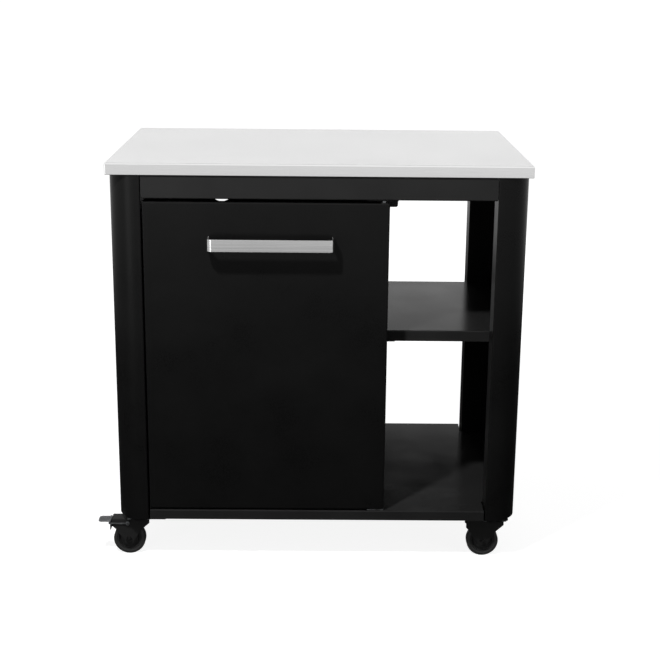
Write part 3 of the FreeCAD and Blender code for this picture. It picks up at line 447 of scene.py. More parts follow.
def piece_from(name: str, shells: list[Shell], sharp_degrees: float = SHARP_DEGREES) -> Piece:
    """Makes one piece from several shells, with its shading weighted by the faces' areas.

    The weights keep a large flat face evenly shaded up to its rolled edges. Without them the narrow faces of
    a roll tilt the shading far into the flat.

    Args:
        name: The piece's name.
        shells: The surfaces.
        sharp_degrees: The angle from which an edge stays sharp.

    Returns:
        The piece, at the origin.
    """
    points = np.concatenate([shell.points.reshape(-1, 3) for shell in shells])
    starts = np.cumsum([0] + [shell.points.shape[0] * shell.points.shape[1] for shell in shells])
    faces = [face for shell, start in zip(shells, starts.tolist()) for face in shell.faces(start)]
    mesh = bpy.data.meshes.new(name + "_grid")
    mesh.from_pydata(points.tolist(), [], faces)
    sheets = [shell.sheet.reshape(-1, 2) for shell in shells if shell.sheet is not None]
    if sheets:
        corners = np.empty(len(mesh.loops), np.int32)
        mesh.loops.foreach_get("vertex_index", corners)
        flat = np.concatenate(sheets)[corners].astype(np.float32)
        mesh.uv_layers.new(name=FLAT_SHEET).data.foreach_set("uv", flat.ravel())
    work = bmesh.new()
    work.from_mesh(mesh)
    bpy.data.meshes.remove(mesh)
    piece = finished_mesh(name, work, sharp_degrees)
    even = piece.modifiers.new("flats stay flat beside their rolled edges", "WEIGHTED_NORMAL")
    even.keep_sharp = True
    return piece


def arc(centre: tuple[float, float], radius: float, first: float, last: float, steps: int = 7) -> np.ndarray:
    """A circular arc in a plane: centre + radius * (cos a, sin a), with a from first to last degrees.

    Args:
        centre: The arc's centre.
        radius: Its radius.
        first: The angle at its start.
        last: The angle at its end.
        steps: The number of points.

    Returns:
        The points, as steps by 2.
    """
    angle = np.radians(np.linspace(first, last, steps))
    return np.array(centre) + radius * np.column_stack([np.cos(angle), np.sin(angle)])


class Axis(Enum):
    """An axis that a piece is turned on, as its direction and the two directions square to it."""

    PLUS_Y = ((0, 1, 0), (0, 0, 1), (1, 0, 0))
    MINUS_Y = ((0, -1, 0), (0, 0, 1), (-1, 0, 0))
    PLUS_Z = ((0, 0, 1), (1, 0, 0), (0, 1, 0))

    def frame(self) -> np.ndarray:
        """Returns the three directions as rows."""
        return np.array(self.value, float)


def turned(
    profile: np.ndarray, centre: np.ndarray, axis: Axis,
    steps: int = 96, closed: bool = True, six_sided: int = 0,
) -> Shell:
    """Turns a profile: centre + along * axis + radius * (cos t * side + sin t * other), for a full turn of t.

    The first rows can be six-sided: their radius is divided by cos(t modulo 60 degrees, less 30 degrees).

    Args:
        profile: The (radius, along) pairs, in metres.
        centre: The point on the axis from which along is measured.
        axis: The axis.
        steps: The number of columns round the circle.
        closed: Whether the profile is a closed ring, as on a tyre. An open one starts and ends on the axis.
        six_sided: The number of rows with a six-sided outline.

    Returns:
        The surface.
    """
    along, side, other = axis.frame()
    angle = np.linspace(0, 2 * math.pi, steps, endpoint=False)
    hexagon = 1 / np.cos(np.mod(angle, math.pi / 3) - math.pi / 6)
    outline = np.where(np.arange(len(profile))[:, None] < six_sided, hexagon[None, :], 1.0)
    radius = profile[:, 0, None] * outline
    points = (
        np.asarray(centre, float)
        + profile[:, 1, None, None] * along
        + (radius * np.cos(angle))[..., None] * side
        + (radius * np.sin(angle))[..., None] * other
    )
    return Shell(points, loop_rows=closed)


class Facing(Enum):
    """The way a folded tray's closed face looks, as the directions of its width, depth and height."""

    UP = ((1, 0, 0), (0, 1, 0), (0, 0, 1))
    FRONT = ((1, 0, 0), (0, 0, 1), (0, -1, 0))


@dataclass(frozen=True)
class FoldedTray:
    """A sheet folded down on all four sides, in metres, with rolled edges and corners.

    Attributes:
        low: The lowest corner of the space it fills.
        high: The highest corner.
        facing: The way its closed face looks.
        sheet: The sheet's thickness.
        roll: The outer radius of its rolled edges and corners.
        lip: The width of the lip turned in round its mouth; the sheet's own thickness for none.
        least_bend: The least inner radius of a fold.
        corner_steps: The number of points round each corner.
    """

    low: Vector
    high: Vector
    facing: Facing
    sheet: float
    roll: float
    lip: float
    least_bend: float = 0.2 * MM
    corner_steps: int = 7

    def profile(self, height: float) -> np.ndarray:
        """The sheet's cross-section, as how far each point lies inside the outline and over the mouth.

        It runs from the inner face down the inner wall, round the lip and up the outer wall to the face, with
        quarter circles at the folds.

        Args:
            height: The tray's height.

        Returns:
            The (inset, level) pairs.
        """
        sheet, roll = self.sheet, self.roll
        inner = max(roll - sheet, self.least_bend)
        lip = max(self.lip, sheet + inner)
        return np.concatenate([
            arc((sheet + inner, height - sheet - inner), inner, 90, 180),
            [(sheet, sheet), (lip, sheet)] if self.lip > sheet else [(sheet, 0.0)],
            [(lip, 0.0), (0.5 * sheet, 0.0), (0.0, 0.5 * sheet)] if self.lip > sheet else [(0.0, 0.0)],
            arc((roll, height - roll), roll, 180, 90, 9),
        ])

    def shell(self) -> Shell:
        """Carries the profile round a rounded rectangle.

        A loop at an inset i has half sizes (a - i, b - i) and corner radius max(roll - i, 0), each corner a
        quarter circle round (a - roll, b - roll) or nearer. Unfolded, a point lies as far out again as it is
        below the face.

        Returns:
            The surface, its face and inner face closed.
        """
        across, deep, tall = (np.array(side, float) for side in self.facing.value)
        low, high = np.array(self.low), np.array(self.high)
        size = high - low
        half = np.array([abs(size @ across), abs(size @ deep)]) / 2
        middle = (low + high) / 2
        height = abs(size @ tall)
        profile = self.profile(height)
        radius = np.maximum(self.roll - profile[:, 0], 0.0)
        turn = np.linspace(0, 90, self.corner_steps)
        angle = np.radians(turn[None, :] + 90.0 * np.arange(4)[:, None]).reshape(-1)
        quarter = np.repeat(np.array([(1, 1), (-1, 1), (-1, -1), (1, -1)], float), len(turn), axis=0)
        corner = half[None, :] - profile[:, :1] - radius[:, None]
        round_it = np.column_stack([np.cos(angle), np.sin(angle)])
        flat = quarter[None, :, :] * corner[:, None, :] + radius[:, None, None] * round_it[None, :, :]
        points = (
            middle
            + flat[..., 0, None] * across
            + flat[..., 1, None] * deep
            + (profile[:, 1] - height / 2)[:, None, None] * tall
        )
        unfolded = flat + (height - profile[:, 1])[:, None, None] * round_it[None, :, :]
        return Shell(points, capped=True, sheet=unfolded[..., ::-1])


def bent_path(corners: np.ndarray, radii: list[float], steps: int = 9) -> np.ndarray:
    """A path of straight runs whose corners are arcs.

    At each inner corner the arc's centre lies on the bisector, at radius / sin(half the inner angle), and it
    touches both runs.

    Args:
        corners: The path's corners in a plane, as n by 2.
        radii: A radius for each inner corner.
        steps: The number of points on each arc.

    Returns:
        The path's points.
    """
    parts = [corners[:1]]
    for before, corner, after, radius in zip(corners[:-2], corners[1:-1], corners[2:], radii):
        back = (before - corner) / np.linalg.norm(before - corner)
        on = (after - corner) / np.linalg.norm(after - corner)
        half = math.acos(float(back @ on)) / 2
        centre = corner + (back + on) / np.linalg.norm(back + on) * radius / math.sin(half)
        start = corner + back * radius / math.tan(half) - centre
        end = corner + on * radius / math.tan(half) - centre
        first, last = math.atan2(start[1], start[0]), math.atan2(end[1], end[0])
        last += 2 * math.pi * round((first - last) / (2 * math.pi))
        parts.append(arc(tuple(centre), radius, math.degrees(first), math.degrees(last), steps))
    return np.concatenate(parts + [corners[-1:]])


def carried(section: np.ndarray, path: np.ndarray, level: float) -> Shell:
    """Carries a cross-section along a path in plan: path point + across * path normal, at level + up.

    Args:
        section: The closed section's (across, up) pairs.
        path: The path's points in plan.
        level: The height of the section's middle.

    Returns:
        The surface, closed at both ends.
    """
    run = np.gradient(path, axis=0)
    run /= np.linalg.norm(run, axis=1, keepdims=True)
    normal = np.column_stack([-run[:, 1], run[:, 0]])
    plan = path[:, None, :] + section[None, :, 0, None] * normal[:, None, :]
    up = np.broadcast_to(level + section[None, :, 1], plan.shape[:2])
    across = np.cumsum(np.linalg.norm(np.diff(section, axis=0, prepend=section[:1]), axis=1))
    along = np.cumsum(np.linalg.norm(np.diff(path, axis=0, prepend=path[:1]), axis=1))
    sheet = np.stack(np.broadcast_arrays(across[None, :], along[:, None]), axis=-1)
    return Shell(np.concatenate([plan, up[..., None]], axis=-1), capped=True, sheet=sheet)


def rounded_section(width: float, height: float, radius: float) -> np.ndarray:
    """A rectangle with rounded corners, as four quarter circles round its inner corners.

    Args:
        width: The size across.
        height: The size up.
        radius: The corner radius.

    Returns:
        The section's points.
    """
    x, y = width / 2 - radius, height / 2 - radius
    return np.concatenate([
        arc((x, y), radius, 0, 90, 5), arc((-x, y), radius, 90, 180, 5),
        arc((-x, -y), radius, 180, 270, 5), arc((x, -y), radius, 270, 360, 5),
    ])


@dataclass(frozen=True)
class ButtonScrew:
    """A button-head screw with a six-sided socket, in metres.

    Attributes:
        shank_radius: The shank's radius.
        shank_length: The shank's length from the head.
        head_radius: The head's radius.
        head_height: The head's height.
    """

    shank_radius: float
    shank_length: float
    head_radius: float
    head_height: float

    def shell(self, seat: Point, axis: Axis) -> Shell:
        """Turns the socket's floor and wall, the domed head, and the shank with its chamfered tip.

        Args:
            seat: The point on its axis under the head.
            axis: The way it points.

        Returns:
            The surface.
        """
        tall, wide, thin, long = self.head_height, self.head_radius, self.shank_radius, self.shank_length
        socket, floor, brim = 0.42 * wide, 0.35 * tall, 0.98 * tall
        tip, chamfer = 0.6 * thin, 0.4 * thin
        dome = arc((0, 0), 1.0, 78, 8, 8) * (wide, -tall)
        profile = np.concatenate([
            [(0, -floor), (socket, -floor), (socket, -brim)],
            dome[dome[:, 0] > 1.2 * socket],
            [(wide, 0), (thin, 0), (thin, long - chamfer), (tip, long), (0, long)],
        ])
        return turned(profile, np.array(seat), axis, steps=36, closed=False, six_sided=3)


class Edge(Enum):
    """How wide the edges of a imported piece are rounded, by how it was made, in metres."""

    TURNED = 0.3 * MM
    STAMPED = 0.4 * MM
    PRESSED = 0.5 * MM
    MOULDED = 1.0 * MM


# Sub-assemblies


@dataclass
class Assembly:
    """A sub-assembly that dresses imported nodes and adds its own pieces.

    Attributes:
        nodes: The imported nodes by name.
    """

    nodes: Nodes

    def dress(self, finish: Finish, *names: str) -> None:
        """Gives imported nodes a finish.

        Args:
            finish: The finish.
            names: The nodes.
        """
        for name in names:
            for slot in self.nodes[name].material_slots:
                slot.material = finish.material()
            LOG.info("%s in %s", name, finish.name)

    def add(self, piece: Piece, body: str, finish: Finish, slot: str, *stands_for: str) -> None:
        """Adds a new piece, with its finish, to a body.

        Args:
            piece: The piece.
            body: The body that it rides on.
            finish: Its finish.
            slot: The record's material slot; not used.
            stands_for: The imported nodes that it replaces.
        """
        piece.data.materials.append(finish.material())
        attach(piece, body)
        if stands_for:
            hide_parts(*stands_for)
        LOG.info("%s made in %s", piece.name, finish.name)

    def soften(self, edge: Edge, body: str, finish: Finish, slot: str, node: str) -> None:
        """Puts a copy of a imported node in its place, with its sharp edges rounded.

        The copy's triangles are merged into flat faces first, so that only real edges are rounded.

        Args:
            edge: How wide its edges are rounded.
            body: The body that it rides on.
            finish: Its finish.
            slot: The record's material slot.
            node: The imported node.
        """
        work = bmesh.new()
        work.from_mesh(self.nodes[node].data)
        bmesh.ops.remove_doubles(work, verts=work.verts, dist=2 * WELD)
        bmesh.ops.dissolve_limit(work, angle_limit=FLAT_ANGLE, verts=work.verts, edges=work.edges)
        piece = finished_mesh(node + "_soft", work, SOFT_SHARP_DEGREES)
        bevel = piece.modifiers.new("rounding", "BEVEL")
        bevel.width = edge.value
        bevel.segments = 2
        bevel.limit_method = "ANGLE"
        bevel.angle_limit = math.radians(SHARP_DEGREES)
        bevel.harden_normals = True
        self.add(piece, body, finish, slot, node)


@dataclass
class Worktop(Assembly):
    """The folded stainless top over its board.

    Attributes:
        sheet: The sheet's thickness.
        roll: The outer radius of its folds.
        lip: The width of the lip turned in underneath.
    """

    sheet: float = 1.5 * MM
    roll: float = 3.0 * MM
    lip: float = 20.0 * MM

    def build(self) -> None:
        """Makes the top and dresses the board and its screws."""
        low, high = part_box("worktop_skin")
        tray = FoldedTray(low, high, Facing.UP, self.sheet, self.roll, self.lip)
        piece = piece_from("worktop_sheet", [tray.shell()])
        self.add(piece, "frame", STAINLESS, "stainless_steel", "worktop_skin")
        self.dress(BOARD, "worktop_core")
        self.dress(ZINC, "worktop_screws")


@dataclass
class Cabinet(Assembly):
    """The columns, rails, base, shelf and walls, and the ring in the hose hole.

    Attributes:
        ring_bore: The radius of the ring's bore.
        ring_neck: The radius of the hole that it sits in.
        ring_lip: The radius of its lips.
        ring_mouth: The rounding at both ends of its bore.
        wall: The thickness of the back panel.
        screw: The screw that holds the shelf to its angles.
        screw_x: The columns of the shelf's screws.
        screw_y: How far they stand from the middle.
        screw_seat: The height under their heads.
    """

    ring_bore: float = 31.0 * MM
    ring_neck: float = 36.0 * MM
    ring_lip: float = 40.0 * MM
    ring_mouth: float = 1.2 * MM
    wall: float = 1.2 * MM
    screw: ButtonScrew = ButtonScrew(2.5 * MM, 7.7 * MM, 4.5 * MM, 2.0 * MM)
    screw_x: tuple[float, float] = (158.5 * MM, 415.0 * MM)
    screw_y: float = 180.0 * MM
    screw_seat: float = 499.5 * MM

    def build(self) -> None:
        """Dresses the sheet metal, and makes the ring and the shelf's screws."""
        corners = ("front_left", "front_right", "rear_left", "rear_right")
        self.dress(CHARCOAL, *["column_" + corner for corner in corners])
        # Rails and shelf in a lighter copy of the door's powder: painted light.
        self.dress(RAIL_CHARCOAL_PAINTED_LIGHT, "rail_front", "rail_rear", "rail_left", "rail_right", "mid_shelf")
        # The bottom tray in a lighter copy of the door's powder: painted light.
        self.dress(TRAY_CHARCOAL_PAINTED_LIGHT, "base_panel")
        self.dress(CHARCOAL, "divider_panel", "side_panel_left", "side_panel_right", "back_panel")
        self.dress(ZINC, "shelf_supports")
        self.add(self.ring(), "frame", GROMMET, "grommet_rubber", "hose_grommet")
        seats = [(x, side * self.screw_y, self.screw_seat) for x in self.screw_x for side in (-1, 1)]
        piece = piece_from("shelf_button_screws", [self.screw.shell(seat, Axis.PLUS_Z) for seat in seats])
        self.add(piece, "frame", ZINC, "zinc_steel", "shelf_screws")

    def ring(self) -> Piece:
        """Turns the ring: a neck as wide as the hole, between two lips whose edges are half circles.

        Returns:
            The piece.
        """
        low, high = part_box("hose_grommet")
        middle = np.array((low + high) / 2)
        far, near = (high.y - low.y) / 2, self.wall / 2
        fat = (far - near) / 2
        soft = self.ring_mouth
        profile = np.concatenate([
            arc((self.ring_bore + soft, far - soft), soft, 180, 90),
            arc((self.ring_lip - fat, far - fat), fat, 90, -90, 9),
            [(self.ring_neck, near), (self.ring_neck, -near)],
            arc((self.ring_lip - fat, fat - far), fat, 90, -90, 9),
            arc((self.ring_bore + soft, soft - far), soft, 270, 180),
        ])
        return piece_from("hose_ring", [turned(profile, middle, Axis.PLUS_Y)])


@dataclass
class Door(Assembly):
    """The door, its strip handle, and its pivots and catch.

    Attributes:
        sheet: The door sheet's thickness.
        roll: The outer radius of its folds.
        rear: Where its rear face lies, which the heads of the handle's screws stand on.
        strip: The handle strip's thickness.
        bend: The outer radius of the handle's bends.
        curl: The outer radius of the bends at its back.
        overlap: How far the strip's ends reach into its tabs.
        foot: The reach of its tabs.
        tab: The height of its tabs.
        edge: The rounding of the strip's edges.
        handle_screw: The screw through the door into each tab.
        arm_screw: The screw up through the top bracket's arm into the rail.
        arm_seats: The points under the heads of those screws.
        tab_screw: The low-headed screw through the bracket's tab into the divider.
        tab_seat: The point under its head.
    """

    sheet: float = 1.2 * MM
    roll: float = 3.0 * MM
    rear: float = -275.0 * MM
    strip: float = 3.0 * MM
    bend: float = 14.0 * MM
    curl: float = 4.0 * MM
    overlap: float = 0.3 * MM
    foot: float = 18.0 * MM
    tab: float = 12.0 * MM
    edge: float = 0.5 * MM
    handle_screw: ButtonScrew = ButtonScrew(2.5 * MM, 22.8 * MM, 4.5 * MM, 2.0 * MM)
    arm_screw: ButtonScrew = ButtonScrew(2.0 * MM, 6.0 * MM, 3.6 * MM, 2.0 * MM)
    arm_seats: tuple[Point, Point] = (
        (112.0 * MM, -280.0 * MM, 822.5 * MM), (157.0 * MM, -280.0 * MM, 822.5 * MM),
    )
    tab_screw: ButtonScrew = ButtonScrew(2.0 * MM, 5.7 * MM, 3.6 * MM, 0.7 * MM)
    tab_seat: Point = (138.5 * MM, -268.38 * MM, 816.5 * MM)

    def build(self) -> None:
        """Makes the door's tray, the handle and the screws, and dresses the rest."""
        low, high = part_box("door_skin")
        tray = FoldedTray(low, high, Facing.FRONT, self.sheet, self.roll, self.sheet)
        self.add(piece_from("door_sheet", [tray.shell()]), "door", CHARCOAL, "charcoal_coat", "door_skin")
        self.dress(CHARCOAL, "door_liner")
        self.add(self.handle(), "door", HANDLE_STAINLESS, "stainless_steel", "handle")
        self.add(self.handle_screws(), "door", ZINC, "zinc_steel", "handle_screws")
        self.add(self.hinge_screws(), "frame", BLACKED, "zinc_steel", "hinge_screws")
        self.soften(Edge.MOULDED, "frame", NYLON, "black_plastic", "door_catch")
        self.soften(Edge.STAMPED, "door", ZINC, "zinc_steel", "catch_strike")
        self.soften(Edge.STAMPED, "frame", CASTER_COAT, "zinc_steel", "hinge_bracket_top")
        self.soften(Edge.STAMPED, "frame", ZINC, "zinc_steel", "hinge_bracket_bottom")
        self.dress(NYLON, "hinge_bushes")
        self.dress(ZINC, "hinge_pins")

    def handle(self) -> Piece:
        """Carries the strip's rounded section round its four bends, and a narrower one along each tab.

        Returns:
            The piece.
        """
        low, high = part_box("handle")
        half = self.strip / 2
        left, right, front, back = low.x + half, high.x - half, low.y + half, high.y - half
        level = (low.z + high.z) / 2
        corners = np.array([
            (low.x + self.curl + self.overlap, back), (left, back), (left, front),
            (right, front), (right, back), (high.x - self.curl - self.overlap, back),
        ])
        large, small = self.bend - half, self.curl - half
        path = bent_path(corners, [small, large, large, small])
        tab = rounded_section(self.strip, self.tab, self.edge)
        shells = [carried(rounded_section(self.strip, high.z - low.z, self.edge), path, level)]
        near, far = self.curl, self.foot
        for start, end in ((low.x + near, low.x + far), (high.x - far, high.x - near)):
            shells.append(carried(tab, np.array([(start, back), (end, back)]), level))
        return piece_from("handle_strip", shells, sharp_degrees=50.0)

    def handle_screws(self) -> Piece:
        """Makes two button screws, from the liner through the door into the middle of each tab.

        Returns:
            The piece.
        """
        low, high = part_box("handle")
        reach, level = self.foot / 2, (low.z + high.z) / 2
        places = (low.x + reach, high.x - reach)
        shells = [self.handle_screw.shell((x, self.rear, level), Axis.MINUS_Y) for x in places]
        return piece_from("handle_button_screws", shells)

    def hinge_screws(self) -> Piece:
        """Makes two button screws up into the rail and one back into the divider.

        Returns:
            The piece.
        """
        shells = [self.arm_screw.shell(seat, Axis.PLUS_Z) for seat in self.arm_seats]
        shells.append(self.tab_screw.shell(self.tab_seat, Axis.PLUS_Y))
        return piece_from("hinge_button_screws", shells)


@dataclass
class Caster(Assembly):
    """One swivel caster, with a brake pedal on some.

    Attributes:
        corner: The corner that it stands at.
        centre: The wheel's middle.
        radius: The wheel's radius.
        braked: Whether it has a pedal.
        width: The tyre's width.
        shoulder: The radius of its shoulders.
        bead: The radius at which it sits on the core.
        bead_chamfer: The chamfer at its bead.
        groove: The depth of the moulding lines round the tread.
        bore: The radius of the disc's bore round the axle.
        boss: The radius of the disc's boss.
        chamfer: The chamfer of the boss at its bore and its rim.
        web_mm: The (radius, half width) pairs of the dish, the groove and the rim, in millimetres.
        rib_reach_mm: The half length of each grip rib, from the pedal's free end in.
        rib_start: How far the first rib lies from the free end.
        rib_pitch: The distance between two ribs.
        rib_half_width: The half width of a rib.
        rib_height: Its height.
        rib_sink: How deep its foot lies in the pedal.
    """

    corner: str
    centre: Point
    radius: float
    braked: bool
    width: float = 24.0 * MM
    shoulder: float = 4.0 * MM
    bead: float = 27.0 * MM
    bead_chamfer: float = 2.0 * MM
    groove: float = 0.5 * MM
    bore: float = 4.05 * MM
    boss: float = 9.0 * MM
    chamfer: float = 0.6 * MM
    web_mm: tuple[tuple[float, float], ...] = (
        (9.6, 9.9), (10.4, 9.5), (18.6, 8.9), (19.4, 8.3),
        (19.7, 5.4), (20.3, 5.0), (23.2, 5.0), (23.8, 5.4),
        (24.1, 9.5), (24.6, 10.0), (27.0, 10.0),
    )
    rib_reach_mm: tuple[float, ...] = (9.0, 12.0, 12.5, 12.5, 12.5)
    rib_start: float = 3.5 * MM
    rib_pitch: float = 4.5 * MM
    rib_half_width: float = 0.8 * MM
    rib_height: float = 0.6 * MM
    rib_sink: float = 0.05 * MM

    def build(self) -> None:
        """Makes the tyre and the wheel disc, and dresses or rounds the metalwork."""
        wheel, swivel, pedal = [part + self.corner for part in ("wheel_", "swivel_", "pedal_")]
        self.add(self.tyre(), wheel, TYRE, "tyre_rubber", "wheel_tyre_" + self.corner)
        self.add(self.disc(), wheel, NYLON, "black_plastic", "wheel_core_" + self.corner)
        self.soften(Edge.PRESSED, swivel, CASTER_COAT, "caster_coat", "caster_fork_" + self.corner)
        self.dress(BLACKED, "wheel_axle_" + self.corner)
        self.soften(Edge.STAMPED, "frame", CASTER_COAT, "zinc_steel", "caster_plate_" + self.corner)
        if self.braked:
            self.soften(Edge.STAMPED, pedal, ZINC, "caster_coat", "brake_pedal_" + self.corner)
            self.add(self.ribs(), pedal, ZINC, "caster_coat")
            self.dress(ZINC, "pedal_pin_" + self.corner)

    def tyre(self) -> Piece:
        """Turns the tyre: a tread with shallow lines, quarter-circle shoulders and flat sides to the bead.

        The lines' edges lie at fixed shares of the tread's flat half width.

        Returns:
            The piece.
        """
        wide, crown = self.width / 2, self.radius
        flat = wide - self.shoulder
        low = crown - self.groove
        line = [(crown, 0.45), (low, 0.55), (low, 0.65), (crown, 0.75)]
        half = np.concatenate([
            [(crown, 0.0)], np.array(line) * (1, flat),
            arc((crown - self.shoulder, flat), self.shoulder, 0, 90, 9),
            [(self.bead + self.bead_chamfer, wide), (self.bead, wide - self.bead_chamfer)],
        ])
        profile = np.concatenate([half, half[:0:-1] * (1, -1)])
        shell = turned(profile, np.array(self.centre), Axis.PLUS_Y, steps=128)
        return piece_from("tyre_" + self.corner, [shell])

    def disc(self) -> Piece:
        """Turns the wheel's disc: a boss round the axle, a shallow dish and a groove inside the rim.

        Returns:
            The piece.
        """
        low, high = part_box("wheel_core_" + self.corner)
        end, cut = (high.y - low.y) / 2, self.chamfer
        half = np.concatenate([
            [(self.bore, 0.0), (self.bore, end - cut), (self.bore + cut, end), (self.boss - cut, end)],
            [(self.boss, end - cut)],
            np.array(self.web_mm) * MM,
        ])
        profile = np.concatenate([half, half[:0:-1] * (1, -1)])
        shell = turned(profile, np.array(self.centre), Axis.PLUS_Y)
        return piece_from("wheel_disc_" + self.corner, [shell], sharp_degrees=30.0)

    def ribs(self) -> Piece:
        """Makes five grip ribs across the pedal: half ellipses that fade out at both ends by (1 - u^8)^0.5.

        Returns:
            The piece.
        """
        low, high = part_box("brake_pedal_" + self.corner)
        middle, foot = (low.y + high.y) / 2, high.z - self.rib_sink
        along = np.linspace(-1, 1, 17)
        angle = np.linspace(0, math.pi, 9)
        fade = np.sqrt(1 - along**8)
        shells = []
        for step, reach in enumerate(self.rib_reach_mm):
            x = low.x + self.rib_start + step * self.rib_pitch
            points = np.stack([
                x + self.rib_half_width * np.outer(fade, np.cos(angle)),
                np.broadcast_to((middle + reach * MM * along)[:, None], (len(along), len(angle))),
                foot + self.rib_height * np.outer(fade, np.sin(angle)),
            ], axis=-1)
            shells.append(Shell(points))
        return piece_from("pedal_ribs_" + self.corner, shells, sharp_degrees=60.0)


@dataclass
class Undercarriage(Assembly):
    """The plates, bolts and kingpins that carry the casters, and the casters.

    Attributes:
        half_x: How far the swivel axes stand from the middle, across.
        half_y: How far they stand from the middle, front to rear.
        trail: How far each wheel trails its swivel axis.
        wheel: The wheels' radius.
    """

    half_x: float = 402.0 * MM
    half_y: float = 252.0 * MM
    trail: float = 24.5 * MM
    wheel: float = 36.0 * MM

    def build(self) -> None:
        """Rounds and dresses the plates and bolts, and builds the four casters."""
        self.soften(Edge.STAMPED, "frame", CASTER_COAT, "zinc_steel", "corner_plates")
        self.soften(Edge.TURNED, "frame", ZINC, "zinc_steel", "caster_bolts")
        self.dress(ZINC, "kingpins")
        for x, left in ((-1, "left"), (1, "right")):
            for y, front in ((-1, "front"), (1, "rear")):
                centre = (x * self.half_x - self.trail, y * self.half_y, self.wheel)
                Caster(self.nodes, f"{front}_{left}", centre, self.wheel, braked=left == "left").build()


# Studio


@dataclass(frozen=True)
class SweepPaper:
    """Matt white paper from a roll, with no gloss and no grain, drawn as a surface that glows.

    The camera sees it glow white, with the cart's shadow on it. Metal sees painted reflections in it: bands
    of glow, dark near the cart and bright low on the wall, that give the worktop and the trays their tones.

    Attributes:
        name: The material's name.
        shown: Its glow to the camera, by the metres from the floor's middle: dimmer under the cart.
        shadow: The colour that takes the cart's shadow, on top of that glow.
        mirrored: The level of its painted reflection in metal, by the same distance: dark near the cart.
        squeeze: How much faster that distance grows sideways than to the rear.
        beside: The level of the painted reflection of its outer parts in metal, by the metres to the side.
        above: How much of that counts, by the height in metres.
        painted_reflection_bands: The (height, colour, strength) stops of the wall's painted reflection in
            metal:
        bright low down, dark above.
        span: The height that the bands' ramp covers, in metres.
        plain: Its colour for the light that it throws back on the cart.
    """

    name: str = "white paper sweep"
    shown: Grade = Grade(1.3, 2.8, 0.89, 1.0)
    shadow: str = "#b0b0b0"
    mirrored: Grade = Grade(2.4, 4.8, 0.035, 1.0)
    squeeze: float = 1.1
    beside: Grade = Grade(2.0, 4.0, 0.0, 0.9)
    above: Grade = Grade(2.3, 2.7, 0.0, 1.0)
    # Painted reflection: bands of glow that only metal sees, with a brighter band from 2.4 to 2.72 m.
    painted_reflection_bands: tuple[tuple[float, str, float], ...] = (
        (0.0, "#dddddd", 1.0), (1.4, "#f2f2f2", 1.0), (2.16, "#f2f2f2", 1.0),
        (2.4, "#ffffff", 1.15), (2.72, "#ffffff", 1.0), (2.88, "#2c2c2c", 1.0),
    )
    span: float = 4.0
    plain: str = "#909090"

    def material(self) -> bpy.types.Material:
        """Builds the paper, which is a different shader to the camera, to metal and to all other rays.

        Metal sees the painted reflection mirrored * max(painted_reflection_bands, beside * above).

        Returns:
            The material.
        """
        made, tree = new_tree(bpy.data.materials, self.name)
        rays = add_node(tree, "LightPath").outputs
        place = add_node(tree, "TexCoord").outputs["Object"]
        axes = add_node(tree, "SeparateXYZ", links={"Vector": place}).outputs
        scale = {"Scale": (self.squeeze, 1.0, 1.0)}
        squeezed = add_node(tree, "Mapping", values=scale, links={"Vector": place}).outputs[0]
        far = add_node(tree, "VectorMath", {"operation": "LENGTH"}, links={0: squeezed}).outputs["Value"]
        aside = add_node(tree, "Math", {"operation": "ABSOLUTE"}, links={0: axes["X"]}).outputs[0]
        share = add_node(tree, "Math", TIMES, values={1: 1 / self.span}, links={0: axes["Z"]}).outputs[0]
        shown, mirrored, beside, above = [
            add_node(tree, "MapRange", values=grade.settings(), links={"Value": along}).outputs[0]
            for grade, along in (
                (self.shown, far), (self.mirrored, far), (self.beside, aside), (self.above, axes["Z"]),
            )
        ]
        outer = add_node(tree, "Math", TIMES, links={0: beside, 1: above}).outputs[0]
        wall = add_node(tree, "ValToRGB", links={"Fac": share})
        stops = wall.color_ramp.elements
        for number, (height, colour, strength) in enumerate(self.painted_reflection_bands):
            stop = stops[number] if number < 2 else stops.new(height / self.span)
            stop.position = height / self.span
            stop.color = (*[strength * channel for channel in linear(colour)[:3]], 1.0)
        upper = add_node(tree, "Math", LARGER, links={0: wall.outputs[0], 1: outer}).outputs[0]
        level = add_node(tree, "Math", TIMES, links={0: mirrored, 1: upper}).outputs[0]
        glow, reflection = [
            add_node(tree, "Emission", values={"Color": WHITE}, links={"Strength": strength}).outputs[0]
            for strength in (shown, level)
        ]
        shadow, plain = [
            add_node(tree, "BsdfDiffuse", values={"Color": linear(colour)}).outputs[0]
            for colour in (self.shadow, self.plain)
        ]
        seen = add_node(
            tree, "Math", LARGER, links={0: rays["Is Camera Ray"], 1: rays["Is Transmission Ray"]}
        ).outputs[0]
        ground = add_node(tree, "AddShader", links={0: shadow, 1: glow}).outputs[0]
        unseen = add_node(
            tree, "MixShader", links={0: rays["Is Glossy Ray"], 1: plain, 2: reflection}
        ).outputs[0]
        both = add_node(tree, "MixShader", links={0: seen, 1: unseen, 2: ground}).outputs[0]
        add_node(tree, "OutputMaterial", links={"Surface": both})
        return made


@dataclass(frozen=True)
class Lamp:
    """A square lamp that the camera doesn't see.

    Attributes:
        name: The lamp's name.
        place: Where it hangs.
        target: The point that it looks at.
        size: Its side in metres.
        power: Its power in watts.
        mirrored: Whether shiny surfaces show it.
    """

    name: str
    place: Point
    target: Point
    size: float
    power: float
    mirrored: bool = True

    def hang(self) -> None:
        """Hangs the lamp and turns it to its target."""
        data = bpy.data.lights.new(self.name, "AREA")
        data.energy = self.power
        data.size = self.size
        lamp = bpy.data.objects.new(self.name, data)
        lamp.location = self.place
        lamp.visible_camera = False
        lamp.visible_glossy = self.mirrored
        lamp.rotation_euler = (Vector(self.target) - Vector(self.place)).to_track_quat("-Z", "Y").to_euler()
        bpy.context.scene.collection.objects.link(lamp)


